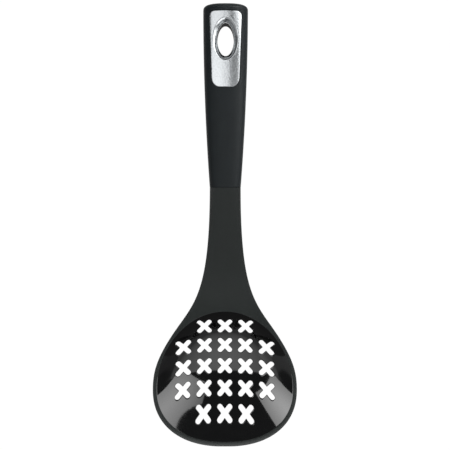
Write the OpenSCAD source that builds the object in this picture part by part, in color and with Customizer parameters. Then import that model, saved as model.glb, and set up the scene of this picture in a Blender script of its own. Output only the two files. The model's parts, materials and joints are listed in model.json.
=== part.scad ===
// Slotted serving ladle lying face up: nylon bowl, neck and tang, soft sleeve on a two-part core, trim plate.
// Sizes are millimetres. The tool's own frame has its origin at the joint of neck and handle, with +Y towards
// the handle end, +Z out of the front and X across. The last transform lays the tool on the table.

/* [Handle] */
// Length from the joint to the handle end
handle_length = 137.5; // [130:0.5:150]
// Width near the handle end
handle_end_width = 33.6; // [32:0.2:37]
// Width at the joint of neck and handle
joint_width = 23.2; // [22:0.2:26]
// Thickness at the handle end
handle_end_thickness = 17.2; // [16:0.2:20]
// Thickness at the joint of neck and handle
joint_thickness = 13.2; // [12.6:0.2:15]
// Length over which the handle end rounds off
end_round = 5.5; // [4:0.5:7]
// Squareness of the rounded handle end, where 2 is an ellipse
end_power = 3; // [2.2:0.1:3.6]
// Squareness of the cross-section, where 2 is an ellipse
section_power = 2.7; // [2.4:0.1:3.2]
// Thickness of the soft sleeve
grip_wall = 2; // [1.6:0.1:2.4]

/* [Trim plate] */
// Distance from the handle end to the top edge of the plate
plate_margin = 6.4; // [5.5:0.1:8]
// Length of the plate
plate_length = 56.6; // [52:0.2:64]
// Width of the plate at its top edge
plate_top_width = 24.2; // [23:0.2:25]
// Width of the plate at its lower edge
plate_low_width = 20.2; // [18:0.2:22]
// Corner radius at the top edge
plate_top_radius = 3.7; // [3:0.1:6]
// Corner radius at the lower edge
plate_low_radius = 7; // [4:0.5:8]
// Diameter of the pegs behind the plate
peg_diameter = 3; // [2.4:0.1:3.4]
// Length of the pegs behind the plate
peg_length = 2.4; // [1.6:0.1:2.8]

/* [Hang eye] */
// Width of the oval hole
eye_width = 12.4; // [10:0.2:13]
// Length of the oval hole
eye_length = 24.8; // [20:0.2:26]
// Distance from the handle end to the middle of the hole
eye_place = 27.3; // [26.5:0.1:29]
// How far the dish widens from the hole to the plate's face
dish_flare = 2.8; // [2:0.1:3]
// How far the hole's edge lies below the plate's face
dish_depth = 3.2; // [2.4:0.1:3.6]
// Wall of the liner and of the dish
liner_wall = 1.4; // [1:0.1:1.6]
// Width of the liner's flange round the hole at the back
flange_width = 3.2; // [2.6:0.1:4]
// How far the flange stays below the sleeve's back
flange_recess = 0.3; // [0.1:0.1:0.5]

/* [Tang] */
// Length of the tang inside the handle
tang_length = 70; // [60:1:76]
// Width of the tang
tang_width = 12; // [10:0.5:13]
// Thickness of the tang
tang_thickness = 5; // [4:0.1:5.4]
// Diameter of the two cross holes
tang_hole = 5; // [4:0.1:6]
// Distance of the first cross hole from the joint
tang_hole_start = 20; // [16:1:24]
// Distance between the cross holes
tang_hole_spacing = 32; // [26:1:34]
// How far the bosses reach into the front half
boss_reach = 1; // [0.6:0.1:1.2]

/* [Neck and outline] */
// Distance from the joint to the bowl's upper edge
bowl_start = 92.5; // [86:0.5:104]
// Pull of the neck's side curve at the joint
neck_pull = 82; // [70:1:86]
// Distance from the bowl's upper edge to the shoulder, where the outline bends the other way
shoulder_drop = 16.4; // [14:0.2:19]
// Width of the outline at the shoulder
shoulder_width = 77.4; // [72:0.2:82]
// Slope of the outline at the shoulder
shoulder_slope = 0.67; // [0.55:0.01:0.8]
// Pull of the shoulder's curve towards the neck
shoulder_neck_pull = 22; // [18:0.5:26]
// Pull of the shoulder's curve towards the bowl
shoulder_bowl_pull = 16.5; // [14:0.5:18]
// Thickness behind the edge where the neck meets the bowl
neck_back = 4.6; // [3.8:0.1:6]
// Radius-like size of the blend between neck and bowl underside
neck_blend = 7; // [4:0.5:10]

/* [Bowl] */
// Outside width of the bowl
bowl_width = 103.4; // [98:0.2:114]
// Inside length of the bowl seen along the front
bowl_length = 87.3; // [84:0.1:96]
// Distance from the bowl's upper edge to its widest place
widest_drop = 51.1; // [48:0.1:54]
// Pull of the shoulder's curve at the widest place
widest_pull = 9.5; // [6:0.5:14]
// Squareness of the lower outline, where 2 is an ellipse
tip_power = 2.3; // [2:0.05:2.6]
// Squareness of the bowl's upper inside edge
crest_power = 1.95; // [1.8:0.05:2.2]
// Depth of the bowl along the front's normal
bowl_depth = 37.3; // [30:0.1:42]
// Distance from the bowl's upper edge to its deepest line
deepest_drop = 44.6; // [42:0.1:47]
// Roundness of the floor, where 2 is a parabola
floor_power = 2.5; // [2.2:0.05:2.8]
// Wall of the bowl
bowl_wall = 2.5; // [2:0.1:3.2]
// Width of the rim
rim_width = 2.8; // [2.4:0.1:3.6]
// Tilt of the rim against the handle in degrees
rim_tilt = 24.8; // [18:0.1:28]
// Distance from the joint to where the rim starts to bend forward
bend_start = 62; // [56:1:68]
// Length over which the rim bends forward
bend_length = 40; // [30:1:46]

/* [Drain slots] */
// Distance between slots across the bowl
slot_pitch_across = 15.6; // [14.6:0.1:16]
// Distance between rows of slots
slot_pitch_along = 15.3; // [14.6:0.1:15.6]
// Overall width and height of one X-shaped slot
slot_span = 11; // [8:0.1:11.4]
// Width of a slot's arms
slot_arm = 3.8; // [3:0.1:4.2]
// Slots in each row, from the neck to the tip
slot_rows = [3, 5, 5, 5, 3];
// Distance from the bowl's upper edge to the middle row
slot_middle_drop = 43.1; // [42:0.1:45]

/* [Hidden] */

// Clearance between pieces that fit into each other
fit_gap = 0.15;
// Crown of the plate's top edge
plate_crown = 0.4;
// Distance of the pegs from the ends of the plate
peg_inset = 4;
// Distance of the lower peg from the lower end of the plate
low_peg_inset = 9;
// Room below a peg or a boss in its hole
hole_room = 0.2;
// Depth by which a tang or a boss grows out of the body that carries it
root_depth = 1;
// Height that cutting shapes run past what they cut
overrun = 40;
// Height of the bowl's cutting shape above the rim
lid_height = 6;
// Facets of the handle's cross-section and steps along it
section_facets = 36;
handle_steps = 16;
end_steps = 7;
// Facets across the head's front and back, and steps along each stretch of its outline
front_facets = 12;
back_facets = 22;
neck_steps = 14;
shoulder_steps = 7;
tip_steps = 9;
// Facets across the bowl's floor and steps along its two halves
floor_facets = 20;
crest_steps = 11;
hollow_tip_steps = 9;
// Last angle of a curve that closes to a point, so that its end stays a small face
last_angle = 86;
// Facets of an oval, of a slot's round end and of a plate corner, longest step along the plate's edge,
// and rings between its dish and its edge
oval_facets = 48;
slot_end_facets = 6;
corner_facets = 5;
edge_step = 5;
plate_rings = 3;

// Lines across the tool that several pieces share
crest_y = -bowl_start;
shoulder_y = crest_y - shoulder_drop;
widest_y = crest_y - widest_drop;
deepest_y = crest_y - deepest_drop;
inner_tip_y = crest_y - bowl_length;
tip_y = inner_tip_y - rim_width;
eye_y = handle_length - eye_place;
plate_top_y = handle_length - plate_margin;
plate_low_y = plate_top_y - plate_length;

// Half sizes that several pieces share
joint_half_width = joint_width / 2;
joint_half_thickness = joint_thickness / 2;
bowl_half_width = bowl_width / 2;
hollow_half_width = bowl_half_width - rim_width;
outer_depth = bowl_depth + bowl_wall / cos(rim_tilt);
core_inset = grip_wall + fit_gap;
plate_underside = grip_wall - fit_gap;
dish_floor = handle_end_thickness / 2 - dish_depth;
tang_room = tang_thickness / 2 + fit_gap;
boss_top = tang_room + boss_reach;

// General curves
function mix(a, b, t) = a + (b - a) * t;
function unit(t) = min(1, max(0, t));
function ease(t) = let (u = unit(t)) u * u * (3 - 2 * u);
function smooth_max(a, b, blend) = (a + b + sqrt((a - b) * (a - b) + blend * blend)) / 2;
function falling(s, p, q) = pow(max(0, 1 - pow(abs(s), p)), 1 / q);
function bezier(p, t) =
    pow(1 - t, 3) * p[0] + 3 * pow(1 - t, 2) * t * p[1] + 3 * (1 - t) * t * t * p[2] + pow(t, 3) * p[3];
function signed_power(v, p) = sign(v) * pow(abs(v), p);
function oval(rx, ry, a) = [rx * cos(a), ry * sin(a)];
function at_height(p, z) = [p[0], p[1], z];

// Handle form: half width and half thickness at a place along the handle, set in by a wall
function closing(y, inset) =
    let (past = y - (handle_length - end_round))
    past > 0 ? falling(past / (end_round - inset), end_power, end_power) : 1;
function handle_half_width(y, inset = 0) =
    (mix(handle_end_width / 2, joint_half_width, pow(1 - y / handle_length, 2)) - inset) * closing(y, inset);
function handle_half_thickness(y, inset = 0) =
    (mix(joint_half_thickness, handle_end_thickness / 2, sin(90 * unit(y / handle_length))) - inset)
    * closing(y, inset);
function face_height(x, y, inset = 0) =
    handle_half_thickness(y, inset)
    * falling(min(1, abs(x) / handle_half_width(y, inset)), section_power, section_power);

// Stations along the handle: even steps, then closer ones round the end
function handle_stations(inset) = concat(
    [for (i = [0 : handle_steps]) (handle_length - end_round) * i / handle_steps],
    [for (i = [1 : end_steps])
        let (share = pow(sin(last_angle * i / end_steps), 2 / end_power))
        handle_length - end_round + (end_round - inset) * share]);
function handle_ring(y, inset) = [for (i = [0 : section_facets - 1])
    let (a = 360 * i / section_facets)
    [handle_half_width(y, inset) * signed_power(cos(a), 2 / section_power), y,
     handle_half_thickness(y, inset) * signed_power(sin(a), 2 / section_power)]];
function handle_rings(inset) = [for (y = handle_stations(inset)) handle_ring(y, inset)];

// Head outline: half width at stations along the neck, the shoulder and the tip
neck_curve = [
    [0, joint_half_width],
    [-neck_pull, joint_half_width],
    [shoulder_y + shoulder_neck_pull, shoulder_width / 2 - shoulder_slope * shoulder_neck_pull],
    [shoulder_y, shoulder_width / 2]];
shoulder_curve = [
    [shoulder_y, shoulder_width / 2],
    [shoulder_y - shoulder_bowl_pull, shoulder_width / 2 + shoulder_slope * shoulder_bowl_pull],
    [widest_y + widest_pull, bowl_half_width],
    [widest_y, bowl_half_width]];
head_stations = concat(
    [for (i = [0 : neck_steps - 1]) bezier(neck_curve, i / neck_steps)],
    [for (i = [0 : shoulder_steps - 1]) bezier(shoulder_curve, i / shoulder_steps)],
    [for (i = [0 : tip_steps])
        let (a = last_angle * i / tip_steps)
        [widest_y + (tip_y - widest_y) * pow(sin(a), 2 / tip_power),
         bowl_half_width * pow(cos(a), 2 / tip_power)]]);

// Head heights: the edge line seen from the side, the crown in front of it and the body behind it
function edge_height(y) =
    let (u = -y - bend_start)
    tan(rim_tilt) * (u <= 0 ? 0 : u < bend_length ? u * u / (2 * bend_length) : u - bend_length / 2);
function drop(y, grow) =
    let (up = crest_y + grow - deepest_y, down = deepest_y - inner_tip_y + grow)
    1 - pow((y > deepest_y ? (y - deepest_y) / up : (deepest_y - y) / down), floor_power);
function neck_share(y) = ease((y - crest_y) / bowl_start);
function crown_height(y) = joint_half_thickness * neck_share(y);
function neck_depth(y) = mix(neck_back, joint_half_thickness, neck_share(y));
function blend_size(y) = neck_blend * ease(y / crest_y) * ease((y - deepest_y) / deepest_drop);
function back_depth(y) = y < deepest_y
    ? outer_depth * max(0, drop(y, rim_width))
    : smooth_max(outer_depth * drop(y, rim_width), neck_depth(y), blend_size(y));
function back_power(y) = mix(section_power, 1, ease((bend_start + y) / (bend_start + deepest_y)));
function back_point(station, i) =
    let (y = station[0], s = cos(180 * i / back_facets))
    let (power = mix(floor_power, section_power, neck_share(y)))
    [station[1] * s, y, edge_height(y) - back_depth(y) * falling(s, power, back_power(y))];
function front_point(station, i) =
    let (y = station[0], s = -cos(180 * i / front_facets))
    [station[1] * s, y, edge_height(y) + crown_height(y) * falling(s, section_power, section_power)];
function head_ring(station) = concat(
    [for (i = [back_facets / 2 : back_facets - 1]) back_point(station, i)],
    [for (i = [0 : front_facets]) front_point(station, i)],
    [for (i = [1 : back_facets / 2 - 1]) back_point(station, i)]);
head_rings = [for (station = head_stations) head_ring(station)];

// Hollow of the bowl: half width and floor height
hollow_stations = concat(
    [for (i = [0 : crest_steps - 1])
        let (a = last_angle * (1 - i / crest_steps))
        [widest_y + widest_drop * pow(sin(a), 2 / crest_power),
         hollow_half_width * pow(cos(a), 2 / crest_power)]],
    [for (i = [0 : hollow_tip_steps])
        let (a = last_angle * i / hollow_tip_steps)
        [widest_y + (inner_tip_y - widest_y) * pow(sin(a), 2 / tip_power),
         hollow_half_width * pow(cos(a), 2 / tip_power)]]);
function hollow_ring(station) =
    let (y = station[0], half = station[1], edge = edge_height(y))
    concat(
        [[-half, y, edge + lid_height], [half, y, edge + lid_height]],
        [for (i = [0 : floor_facets])
            let (s = cos(180 * i / floor_facets))
            [half * s, y, edge - bowl_depth * drop(y, 0) * falling(s, floor_power, 1)]]);

// Resting pose: the line that touches the bowl and the handle from below, and the box round the tool
grip_rings = handle_rings(0);
function lowest(ring) = [ring[0][1], min([for (p = ring) p[2]])];
rest_slope = max([for (head = head_rings) min([for (grip = grip_rings)
    let (low = lowest(head), heel = lowest(grip))
    heel[0] > low[0] + 1 ? (heel[1] - low[1]) / (heel[0] - low[0]) : 1])]);
rest_angle = -atan(rest_slope);
function laid(p) = [
    p[0],
    p[1] * cos(rest_angle) - p[2] * sin(rest_angle),
    p[1] * sin(rest_angle) + p[2] * cos(rest_angle)];
laid_points = [for (ring = concat(head_rings, grip_rings)) for (p = ring) laid(p)];
laid_y = [for (p = laid_points) p[1]];
laid_z = [for (p = laid_points) p[2]];
rest_shift = [0, -(min(laid_y) + max(laid_y)) / 2, -min(laid_z)];
module on_table() {
    translate(rest_shift)
        rotate([rest_angle, 0, 0])
            children();
}

// Solids from rings: a closed loft with two flat ends, and a loft that closes on itself
function side_faces(rings, count, closed) = [
    for (r = [0 : rings - (closed ? 1 : 2)])
        for (i = [0 : count - 1])
            let (next = (r + 1) % rings, j = (i + 1) % count)
            [r * count + i, r * count + j, next * count + j, next * count + i]];
module loft(rings) {
    count = len(rings[0]);
    last = (len(rings) - 1) * count;
    polyhedron(
        points = [for (ring = rings) each ring],
        faces = concat(
            side_faces(len(rings), count, false),
            [[for (i = [0 : count - 1]) count - 1 - i], [for (i = [0 : count - 1]) last + i]]));
}
module loop_loft(rings) {
    polyhedron(
        points = [for (ring = rings) each ring],
        faces = side_faces(len(rings), len(rings[0]), true));
}

// Plate edge: a rounded rectangle that narrows towards the neck, grown by a clearance
function plate_half(y) =
    mix(plate_low_width, plate_top_width, (y - plate_low_y) / plate_length) / plate_top_width;
function corner(x, y, r, from, side) = [for (i = [0 : corner_facets])
    let (a = from + 90 * i / corner_facets)
    [x * side + r * cos(a), y + r * sin(a)]];
function plate_corners(grow) =
    let (half = plate_top_width / 2 + grow, top = plate_top_radius + grow, low = plate_low_radius + grow)
    concat(
        corner(half - top, plate_top_y + grow - top, top, 0, 1),
        corner(half - top, plate_top_y + grow - top, top, 90, -1),
        corner(half - low, plate_low_y - grow + low, low, 180, -1),
        corner(half - low, plate_low_y - grow + low, low, 270, 1));
function crowned(p) =
    [p[0] * plate_half(p[1]),
     p[1] - (p[1] > eye_y ? plate_crown * pow(2 * p[0] / plate_top_width, 2) : 0)];
function plate_edge(grow) =
    let (path = plate_corners(grow), count = len(path))
    [for (i = [0 : count - 1])
        let (from = path[i], to = path[(i + 1) % count], steps = max(1, ceil(norm(to - from) / edge_step)))
        for (k = [0 : steps - 1]) crowned(from + (to - from) * k / steps)];

// Oval points in the directions of the plate edge's points
function eye_oval(rx, ry, toward) =
    oval(rx, ry, atan2((toward[1] - eye_y) / ry, toward[0] / rx)) + [0, eye_y];
function eye_ring(grow, z, edge) = [for (p = edge)
    at_height(eye_oval(eye_width / 2 + grow, eye_length / 2 + grow, p), z)];
function face_ring(points, inset) = [for (p = points) at_height(p, face_height(p[0], p[1], inset))];
function between(inner, outer, t) = [for (i = [0 : len(inner) - 1]) mix(inner[i], outer[i], t)];
function flat(ring) = [for (p = ring) [p[0], p[1]]];
module eye_hole(grow, from, to) {
    translate([0, eye_y, from])
        linear_extrude(to - from)
            polygon([for (i = [0 : oval_facets - 1])
                oval(eye_width / 2 + grow, eye_length / 2 + grow, 360 * i / oval_facets)]);
}

// Pegs behind the plate: two in the upper corners and one near the lower end
peg_places = [
    [plate_top_width / 2 - peg_inset, plate_top_y - peg_inset],
    [peg_inset - plate_top_width / 2, plate_top_y - peg_inset],
    [0, plate_low_y + low_peg_inset]];
module pegs(grow, depth) {
    for (place = peg_places) {
        seat = face_height(place[0], place[1], plate_underside);
        translate([place[0], place[1], seat - depth])
            cylinder(h = depth + plate_underside / 2, d = peg_diameter + 2 * grow, $fn = 32);
    }
}

// Cross holes of the tang, and the bosses and sockets that go with them
module cross_pins(diameter, from, to) {
    for (k = [0, 1])
        translate([0, tang_hole_start + k * tang_hole_spacing, from])
            cylinder(h = to - from, d = diameter, $fn = 32);
}

// One drain slot: two crossed arms with round ends
module slot_shape() {
    reach = (slot_span - slot_arm) / sqrt(2);
    polygon([for (arm = [0 : 3])
        let (a = 45 + 90 * arm, centre = reach * [cos(a), sin(a)])
        each concat(
            [for (i = [0 : slot_end_facets])
                let (b = a - 90 + 180 * i / slot_end_facets)
                centre + slot_arm / 2 * [cos(b), sin(b)]],
            [slot_arm / sqrt(2) * [cos(a + 45), sin(a + 45)]])]);
}
module drain_slots() {
    middle_row = (len(slot_rows) - 1) / 2;
    for (row = [0 : len(slot_rows) - 1])
        for (column = [0 : slot_rows[row] - 1])
            translate([
                (column - (slot_rows[row] - 1) / 2) * slot_pitch_across,
                crest_y - slot_middle_drop + (middle_row - row) * slot_pitch_along,
                -overrun])
                linear_extrude(2 * overrun)
                    slot_shape();
}

// Sub-parts
module spoon_head() {
    color("#2b2d2c")
        on_table() {
            difference() {
                loft(head_rings);
                loft([for (station = hollow_stations) hollow_ring(station)]);
                drain_slots();
            }
            difference() {
                translate([-tang_width / 2, -root_depth, -tang_thickness / 2])
                    cube([tang_width, tang_length + root_depth, tang_thickness]);
                cross_pins(tang_hole, -overrun, overrun);
            }
        }
}
module soft_grip() {
    inner = handle_rings(grip_wall);
    color("#26292b")
        on_table()
            difference() {
                loft(concat([for (i = [len(inner) - 1 : -1 : 0]) inner[i]], grip_rings));
                linear_extrude(overrun)
                    polygon(plate_edge(fit_gap));
                eye_hole(flange_width + fit_gap, -overrun, 0);
            }
}
module core_half(side) {
    difference() {
        loft(handle_rings(core_inset));
        translate([-overrun, -overrun, side > 0 ? -2 * overrun : 0])
            cube([2 * overrun, handle_length + 2 * overrun, 2 * overrun]);
        translate([-tang_width / 2 - fit_gap, -overrun, -tang_room])
            cube([tang_width + 2 * fit_gap, tang_length + fit_gap + overrun, 2 * tang_room]);
        eye_hole(liner_wall + fit_gap, -overrun, overrun);
        children();
    }
}
module core_front() {
    color("#1b1c1d")
        on_table()
            core_half(1) {
                eye_hole(dish_flare + liner_wall + fit_gap, dish_floor - liner_wall - fit_gap, overrun);
                pegs(fit_gap, peg_length + hole_room);
                cross_pins(tang_hole, 0, boss_top + hole_room);
            }
}
module core_back() {
    color("#1d1e1f")
        on_table() {
            core_half(-1);
            cross_pins(tang_hole - 2 * fit_gap, -tang_room - root_depth, boss_top);
        }
}
module hang_plate() {
    edge = plate_edge(0);
    dish = flat(eye_ring(dish_flare, 0, edge));
    dish_back = flat(eye_ring(dish_flare + liner_wall, 0, edge));
    color("#c9ccce")
        on_table() {
            loop_loft(concat(
                [eye_ring(0, dish_floor - liner_wall, edge), eye_ring(0, dish_floor, edge)],
                [for (k = [0 : plate_rings]) face_ring(between(dish, edge, k / plate_rings), 0)],
                [for (k = [0 : plate_rings])
                    face_ring(between(edge, dish_back, k / plate_rings), plate_underside)],
                [eye_ring(dish_flare + liner_wall, dish_floor - liner_wall / 2, edge),
                 eye_ring(liner_wall, dish_floor - liner_wall, edge)]));
            pegs(0, peg_length);
        }
}
module hang_liner() {
    around = [for (i = [0 : oval_facets - 1])
        oval(1, 1, 360 * i / oval_facets) + [0, eye_y]];
    hole = flat(eye_ring(0, 0, around));
    flange = flat(eye_ring(flange_width, 0, around));
    tube = flat(eye_ring(liner_wall, 0, around));
    top = dish_floor - liner_wall - fit_gap;
    color("#17181a")
        on_table()
            loop_loft([
                [for (p = hole) at_height(p, top)],
                [for (p = tube) at_height(p, top)],
                [for (p = tube) at_height(p, -face_height(p[0], p[1], plate_underside))],
                [for (p = flange) at_height(p, -face_height(p[0], p[1], plate_underside))],
                [for (p = flange) at_height(p, -face_height(p[0], p[1], flange_recess))],
                [for (p = hole) at_height(p, -face_height(p[0], p[1], flange_recess))]]);
}

spoon_head();
soft_grip();
core_front();
core_back();
hang_plate();
hang_liner();
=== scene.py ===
"""Looks of a slotted ladle with a soft-grip handle and a metal hanging plate.

Lengths are in millimetres in the tool's own frame: the origin is where the neck meets the handle,
X runs across, Y runs to the handle's end and Z comes out of the front. ToolFrame turns them into
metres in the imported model's frame.
"""
import json
import logging
import math
from dataclasses import dataclass, field
from enum import Enum, IntEnum
from functools import cached_property
from typing import Any, Callable, Sequence

import bmesh
import bpy
import numpy as np
from mathutils import Matrix, Vector
from mathutils.geometry import delaunay_2d_cdt
from mathutils.kdtree import KDTree


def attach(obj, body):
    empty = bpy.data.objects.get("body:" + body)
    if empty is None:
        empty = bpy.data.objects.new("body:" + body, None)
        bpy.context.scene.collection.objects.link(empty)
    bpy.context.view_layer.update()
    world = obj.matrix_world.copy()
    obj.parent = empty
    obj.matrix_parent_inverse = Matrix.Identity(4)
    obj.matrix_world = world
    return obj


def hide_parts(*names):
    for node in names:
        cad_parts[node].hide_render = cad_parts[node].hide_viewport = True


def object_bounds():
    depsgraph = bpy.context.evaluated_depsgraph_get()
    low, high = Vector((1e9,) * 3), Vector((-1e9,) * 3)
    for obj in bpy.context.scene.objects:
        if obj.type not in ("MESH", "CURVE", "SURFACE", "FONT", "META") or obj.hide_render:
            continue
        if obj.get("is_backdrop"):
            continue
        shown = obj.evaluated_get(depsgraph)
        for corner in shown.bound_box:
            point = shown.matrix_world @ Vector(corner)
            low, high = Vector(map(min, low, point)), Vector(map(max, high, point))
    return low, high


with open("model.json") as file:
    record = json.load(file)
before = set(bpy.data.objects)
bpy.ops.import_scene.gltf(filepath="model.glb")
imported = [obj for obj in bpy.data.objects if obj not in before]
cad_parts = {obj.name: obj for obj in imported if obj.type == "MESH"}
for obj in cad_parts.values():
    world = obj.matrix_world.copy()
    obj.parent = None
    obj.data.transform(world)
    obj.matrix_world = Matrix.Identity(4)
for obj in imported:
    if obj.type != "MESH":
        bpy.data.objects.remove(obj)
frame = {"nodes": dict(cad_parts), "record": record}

LOG = logging.getLogger("ladle")
Array = np.ndarray
Profile = Callable[[Array], Array]
Material = bpy.types.Material
Object = bpy.types.Object
MM = 0.001
TINY = 1e-9
# Name of the mark that carries a painted highlight along the bowl's rim
PAINTED_SHEEN = "burnish"
WELD = 0.002 * MM
SLIVER = WELD / 4.0
BODY = "root"
HEAD = "spoon_head_moulded"
GRIP = "soft_grip_moulded"
PLATE = "hang_plate_pressed"
LINER = "hang_liner_moulded"


# General curves
def mix(a: Any, b: Any, t: Any) -> Any:
    """Goes from a to b as t goes from 0 to 1."""
    return a + (b - a) * t


def ease(t: Any) -> Any:
    """Rises smoothly from 0 to 1 as t goes from 0 to 1."""
    u = np.clip(t, 0.0, 1.0)
    return u * u * (3.0 - 2.0 * u)


def falling(s: Any, p: Any, q: Any) -> Any:
    """Falls from 1 in the middle to 0 at the edge along a superellipse."""
    return np.maximum(0.0, 1.0 - np.abs(s) ** p) ** (1.0 / q)


def smooth_max(a: Any, b: Any, blend: Any) -> Any:
    """The larger of two heights, with a soft change between them."""
    return (a + b + np.sqrt((a - b) ** 2 + blend**2)) / 2.0


def heading(angle: Any) -> Array:
    """Unit directions in plan at given angles."""
    return np.stack([np.cos(angle), np.sin(angle)], axis=-1)


def circle(count: int) -> Array:
    """Even directions all the way round."""
    return heading(np.linspace(0.0, 2.0 * np.pi, count + 1)[:-1])


def level(plan: Array, z: float) -> Array:
    """Points in plan, put at one height."""
    return np.column_stack([plan, np.full(len(plan), z)])


def bezier(points: Sequence[Sequence[float]], t: Array) -> Array:
    """Points of a cubic curve.

    Args:
        points: The four control points.
        t: Places along the curve from 0 to 1.

    Returns:
        One row for each place.
    """
    p = np.asarray(points, float)
    u = np.asarray(t, float)[:, None]
    return (1 - u) ** 3 * p[0] + 3 * (1 - u) ** 2 * u * p[1] + 3 * (1 - u) * u**2 * p[2] + u**3 * p[3]


def fillet(start: Array, corner: Array, end: Array, steps: int) -> list[Array]:
    """Rows of points that round a corner between two rows.

    Args:
        start: Row where the rounding leaves the first face.
        corner: Row along the sharp corner.
        end: Row where the rounding joins the second face.
        steps: Number of strips across the rounding.

    Returns:
        The rows, from start to end.
    """
    places = np.linspace(0.0, 1.0, steps + 1)
    return [(1 - t) ** 2 * start + 2 * t * (1 - t) * corner + t**2 * end for t in places]


def spaced(curve: Array, spacing: float) -> Array:
    """Points at even distances along a curve.

    Args:
        curve: Points of the curve, close together.
        spacing: Distance wanted between the new points.

    Returns:
        The new points, with both ends kept.
    """
    run = np.concatenate([[0.0], np.cumsum(np.linalg.norm(np.diff(curve, axis=0), axis=1))])
    count = max(2, int(round(run[-1] / spacing)) + 1)
    places = np.linspace(0.0, run[-1], count)
    return np.column_stack([np.interp(places, run, curve[:, k]) for k in range(curve.shape[1])])


def outward(curve: Array, closed: bool) -> Array:
    """Directions to the right of a curve in plan.

    Args:
        curve: Points of the curve.
        closed: Whether the last point leads on to the first.

    Returns:
        A unit direction for each point.
    """
    if closed:
        along = np.roll(curve, -1, axis=0) - np.roll(curve, 1, axis=0)
    else:
        along = np.gradient(curve, axis=0)
    along = along / np.linalg.norm(along, axis=1, keepdims=True)
    return np.column_stack([along[:, 1], -along[:, 0]])


def mirrored(curve: Array) -> Array:
    """A right-hand curve followed by its left-hand copy, back to where it started."""
    return np.vstack([curve, curve[-2::-1] * [-1.0, 1.0]])


def cross_line(row: Array, step: float) -> Array:
    """Points across the tool that lead from a row's last point back to its first.

    Args:
        row: Points in plan.
        step: Distance wanted between the new points.

    Returns:
        The new points, without the row's own.
    """
    first, last = row[0], row[-1]
    count = max(3, int(round(abs(first[0] - last[0]) / step)))
    return mix(last, first, np.linspace(0.0, 1.0, count + 1)[1:-1, None])


# Faces between points
def strip_faces(rows: int, count: int, closed: bool) -> list[tuple[int, ...]]:
    """Four-sided faces between rows of points.

    Args:
        rows: Number of rows.
        count: Number of points in each row.
        closed: Whether each row's last point leads on to its first.

    Returns:
        Four point numbers for each face.
    """
    span = count if closed else count - 1
    faces = []
    for row in range(0, (rows - 1) * count, count):
        for k in range(span):
            after = (k + 1) % count
            faces.append((row + k, row + after, row + count + after, row + count + k))
    return faces


def inside_loops(points: Array, loops: Sequence[Array]) -> Array:
    """Tells which points lie inside an odd number of closed loops.

    Args:
        points: Points in plan.
        loops: Closed loops in plan.

    Returns:
        One truth value for each point.
    """
    inside = np.zeros(len(points), bool)
    for loop in loops:
        for here, there in zip(loop, np.roll(loop, -1, axis=0)):
            crosses = (here[1] > points[:, 1]) != (there[1] > points[:, 1])
            if crosses.any():
                share = (points[crosses, 1] - here[1]) / (there[1] - here[1])
                inside[crosses] ^= points[crosses, 0] < mix(here[0], there[0], share)
    return inside


def gaps(points: Array, others: Array) -> Array:
    """Distance in plan from each point to the nearest of the others.

    Args:
        points: Points in plan.
        others: Further points in plan.

    Returns:
        One distance for each point.
    """
    tree = KDTree(len(others))
    for k, p in enumerate(level(others, 0.0)):
        tree.insert(p, k)
    tree.balance()
    return np.array([tree.find(p)[2] for p in level(points, 0.0)])


def seed_points(loops: Sequence[Array], spacing: float, clearance: float = 0.6) -> Array:
    """Evenly staggered points inside closed loops, clear of the loops themselves.

    Args:
        loops: Closed loops in plan, the outer one first.
        spacing: Distance between neighbours.
        clearance: Least distance from the loops, as a share of the spacing.

    Returns:
        The points.
    """
    low = loops[0].min(axis=0)
    high = loops[0].max(axis=0)
    columns = math.ceil((high[0] - low[0]) / (2.0 * spacing))
    middle = (low[0] + high[0]) / 2.0
    points = []
    for k, y in enumerate(np.arange(low[1], high[1], spacing * math.sqrt(3.0) / 2.0)):
        x = np.arange(-columns, columns + 1) * spacing + spacing / 2.0 * (k % 2) + middle
        points.append(np.column_stack([x, np.full(len(x), y)]))
    found = np.vstack(points)
    found = found[inside_loops(found, loops)]
    return found[gaps(found, np.vstack(loops)) > clearance * spacing]


def triangulate(loops: Sequence[Array], seeds: Array) -> tuple[Array, Array]:
    """Fills the room between closed loops with triangles.

    Args:
        loops: Closed loops in plan.
        seeds: Further points inside them.

    Returns:
        All points, loops first, and three point numbers for each triangle.
    """
    points = np.vstack([*loops, seeds])
    edges = []
    start = 0
    for loop in loops:
        count = len(loop)
        edges.extend((start + k, start + (k + 1) % count) for k in range(count))
        start += count
    whole_hull, same_point = 0, 1e-6
    made = delaunay_2d_cdt([Vector(p) for p in points], edges, [], whole_hull, same_point, True)
    source = [s[0] for s in made[3]]
    faces = np.array([[source[k] for k in f] for f in made[2]])
    kept = inside_loops(points[faces].mean(axis=1), loops)
    return points, faces[kept]


def filled(loops: Sequence[Array], step: float, half: Profile, depth: Profile) -> tuple[Array, Array]:
    """Fills the room between loops, with points closer together where the sides are steep.

    Args:
        loops: Closed loops in plan, the outer one first.
        step: Distance between neighbouring points on the surface.
        half: Half width of the surface at a station.
        depth: Depth of the surface at a station.

    Returns:
        All points in plan, loops first, and three point numbers for each triangle.
    """

    def room(y: Array) -> Array:
        """Half the length of the surface's section, roughly."""
        side_share = 0.7
        return np.maximum(half(y), TINY) + side_share * depth(y)

    wide = []
    for loop in loops:
        x, y = loop.T
        turn = np.arcsin(np.clip(x / np.maximum(half(y), TINY), -1.0, 1.0))
        wide.append(np.column_stack([room(y) * turn * 2.0 / np.pi, y]))
    seeds = seed_points(wide, step)
    _, faces = triangulate(wide, seeds)
    u, y = seeds.T
    turn = np.clip(u / room(y), -1.0, 1.0) * np.pi / 2.0
    return np.vstack([*loops, np.column_stack([half(y) * np.sin(turn), y])]), faces


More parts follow.
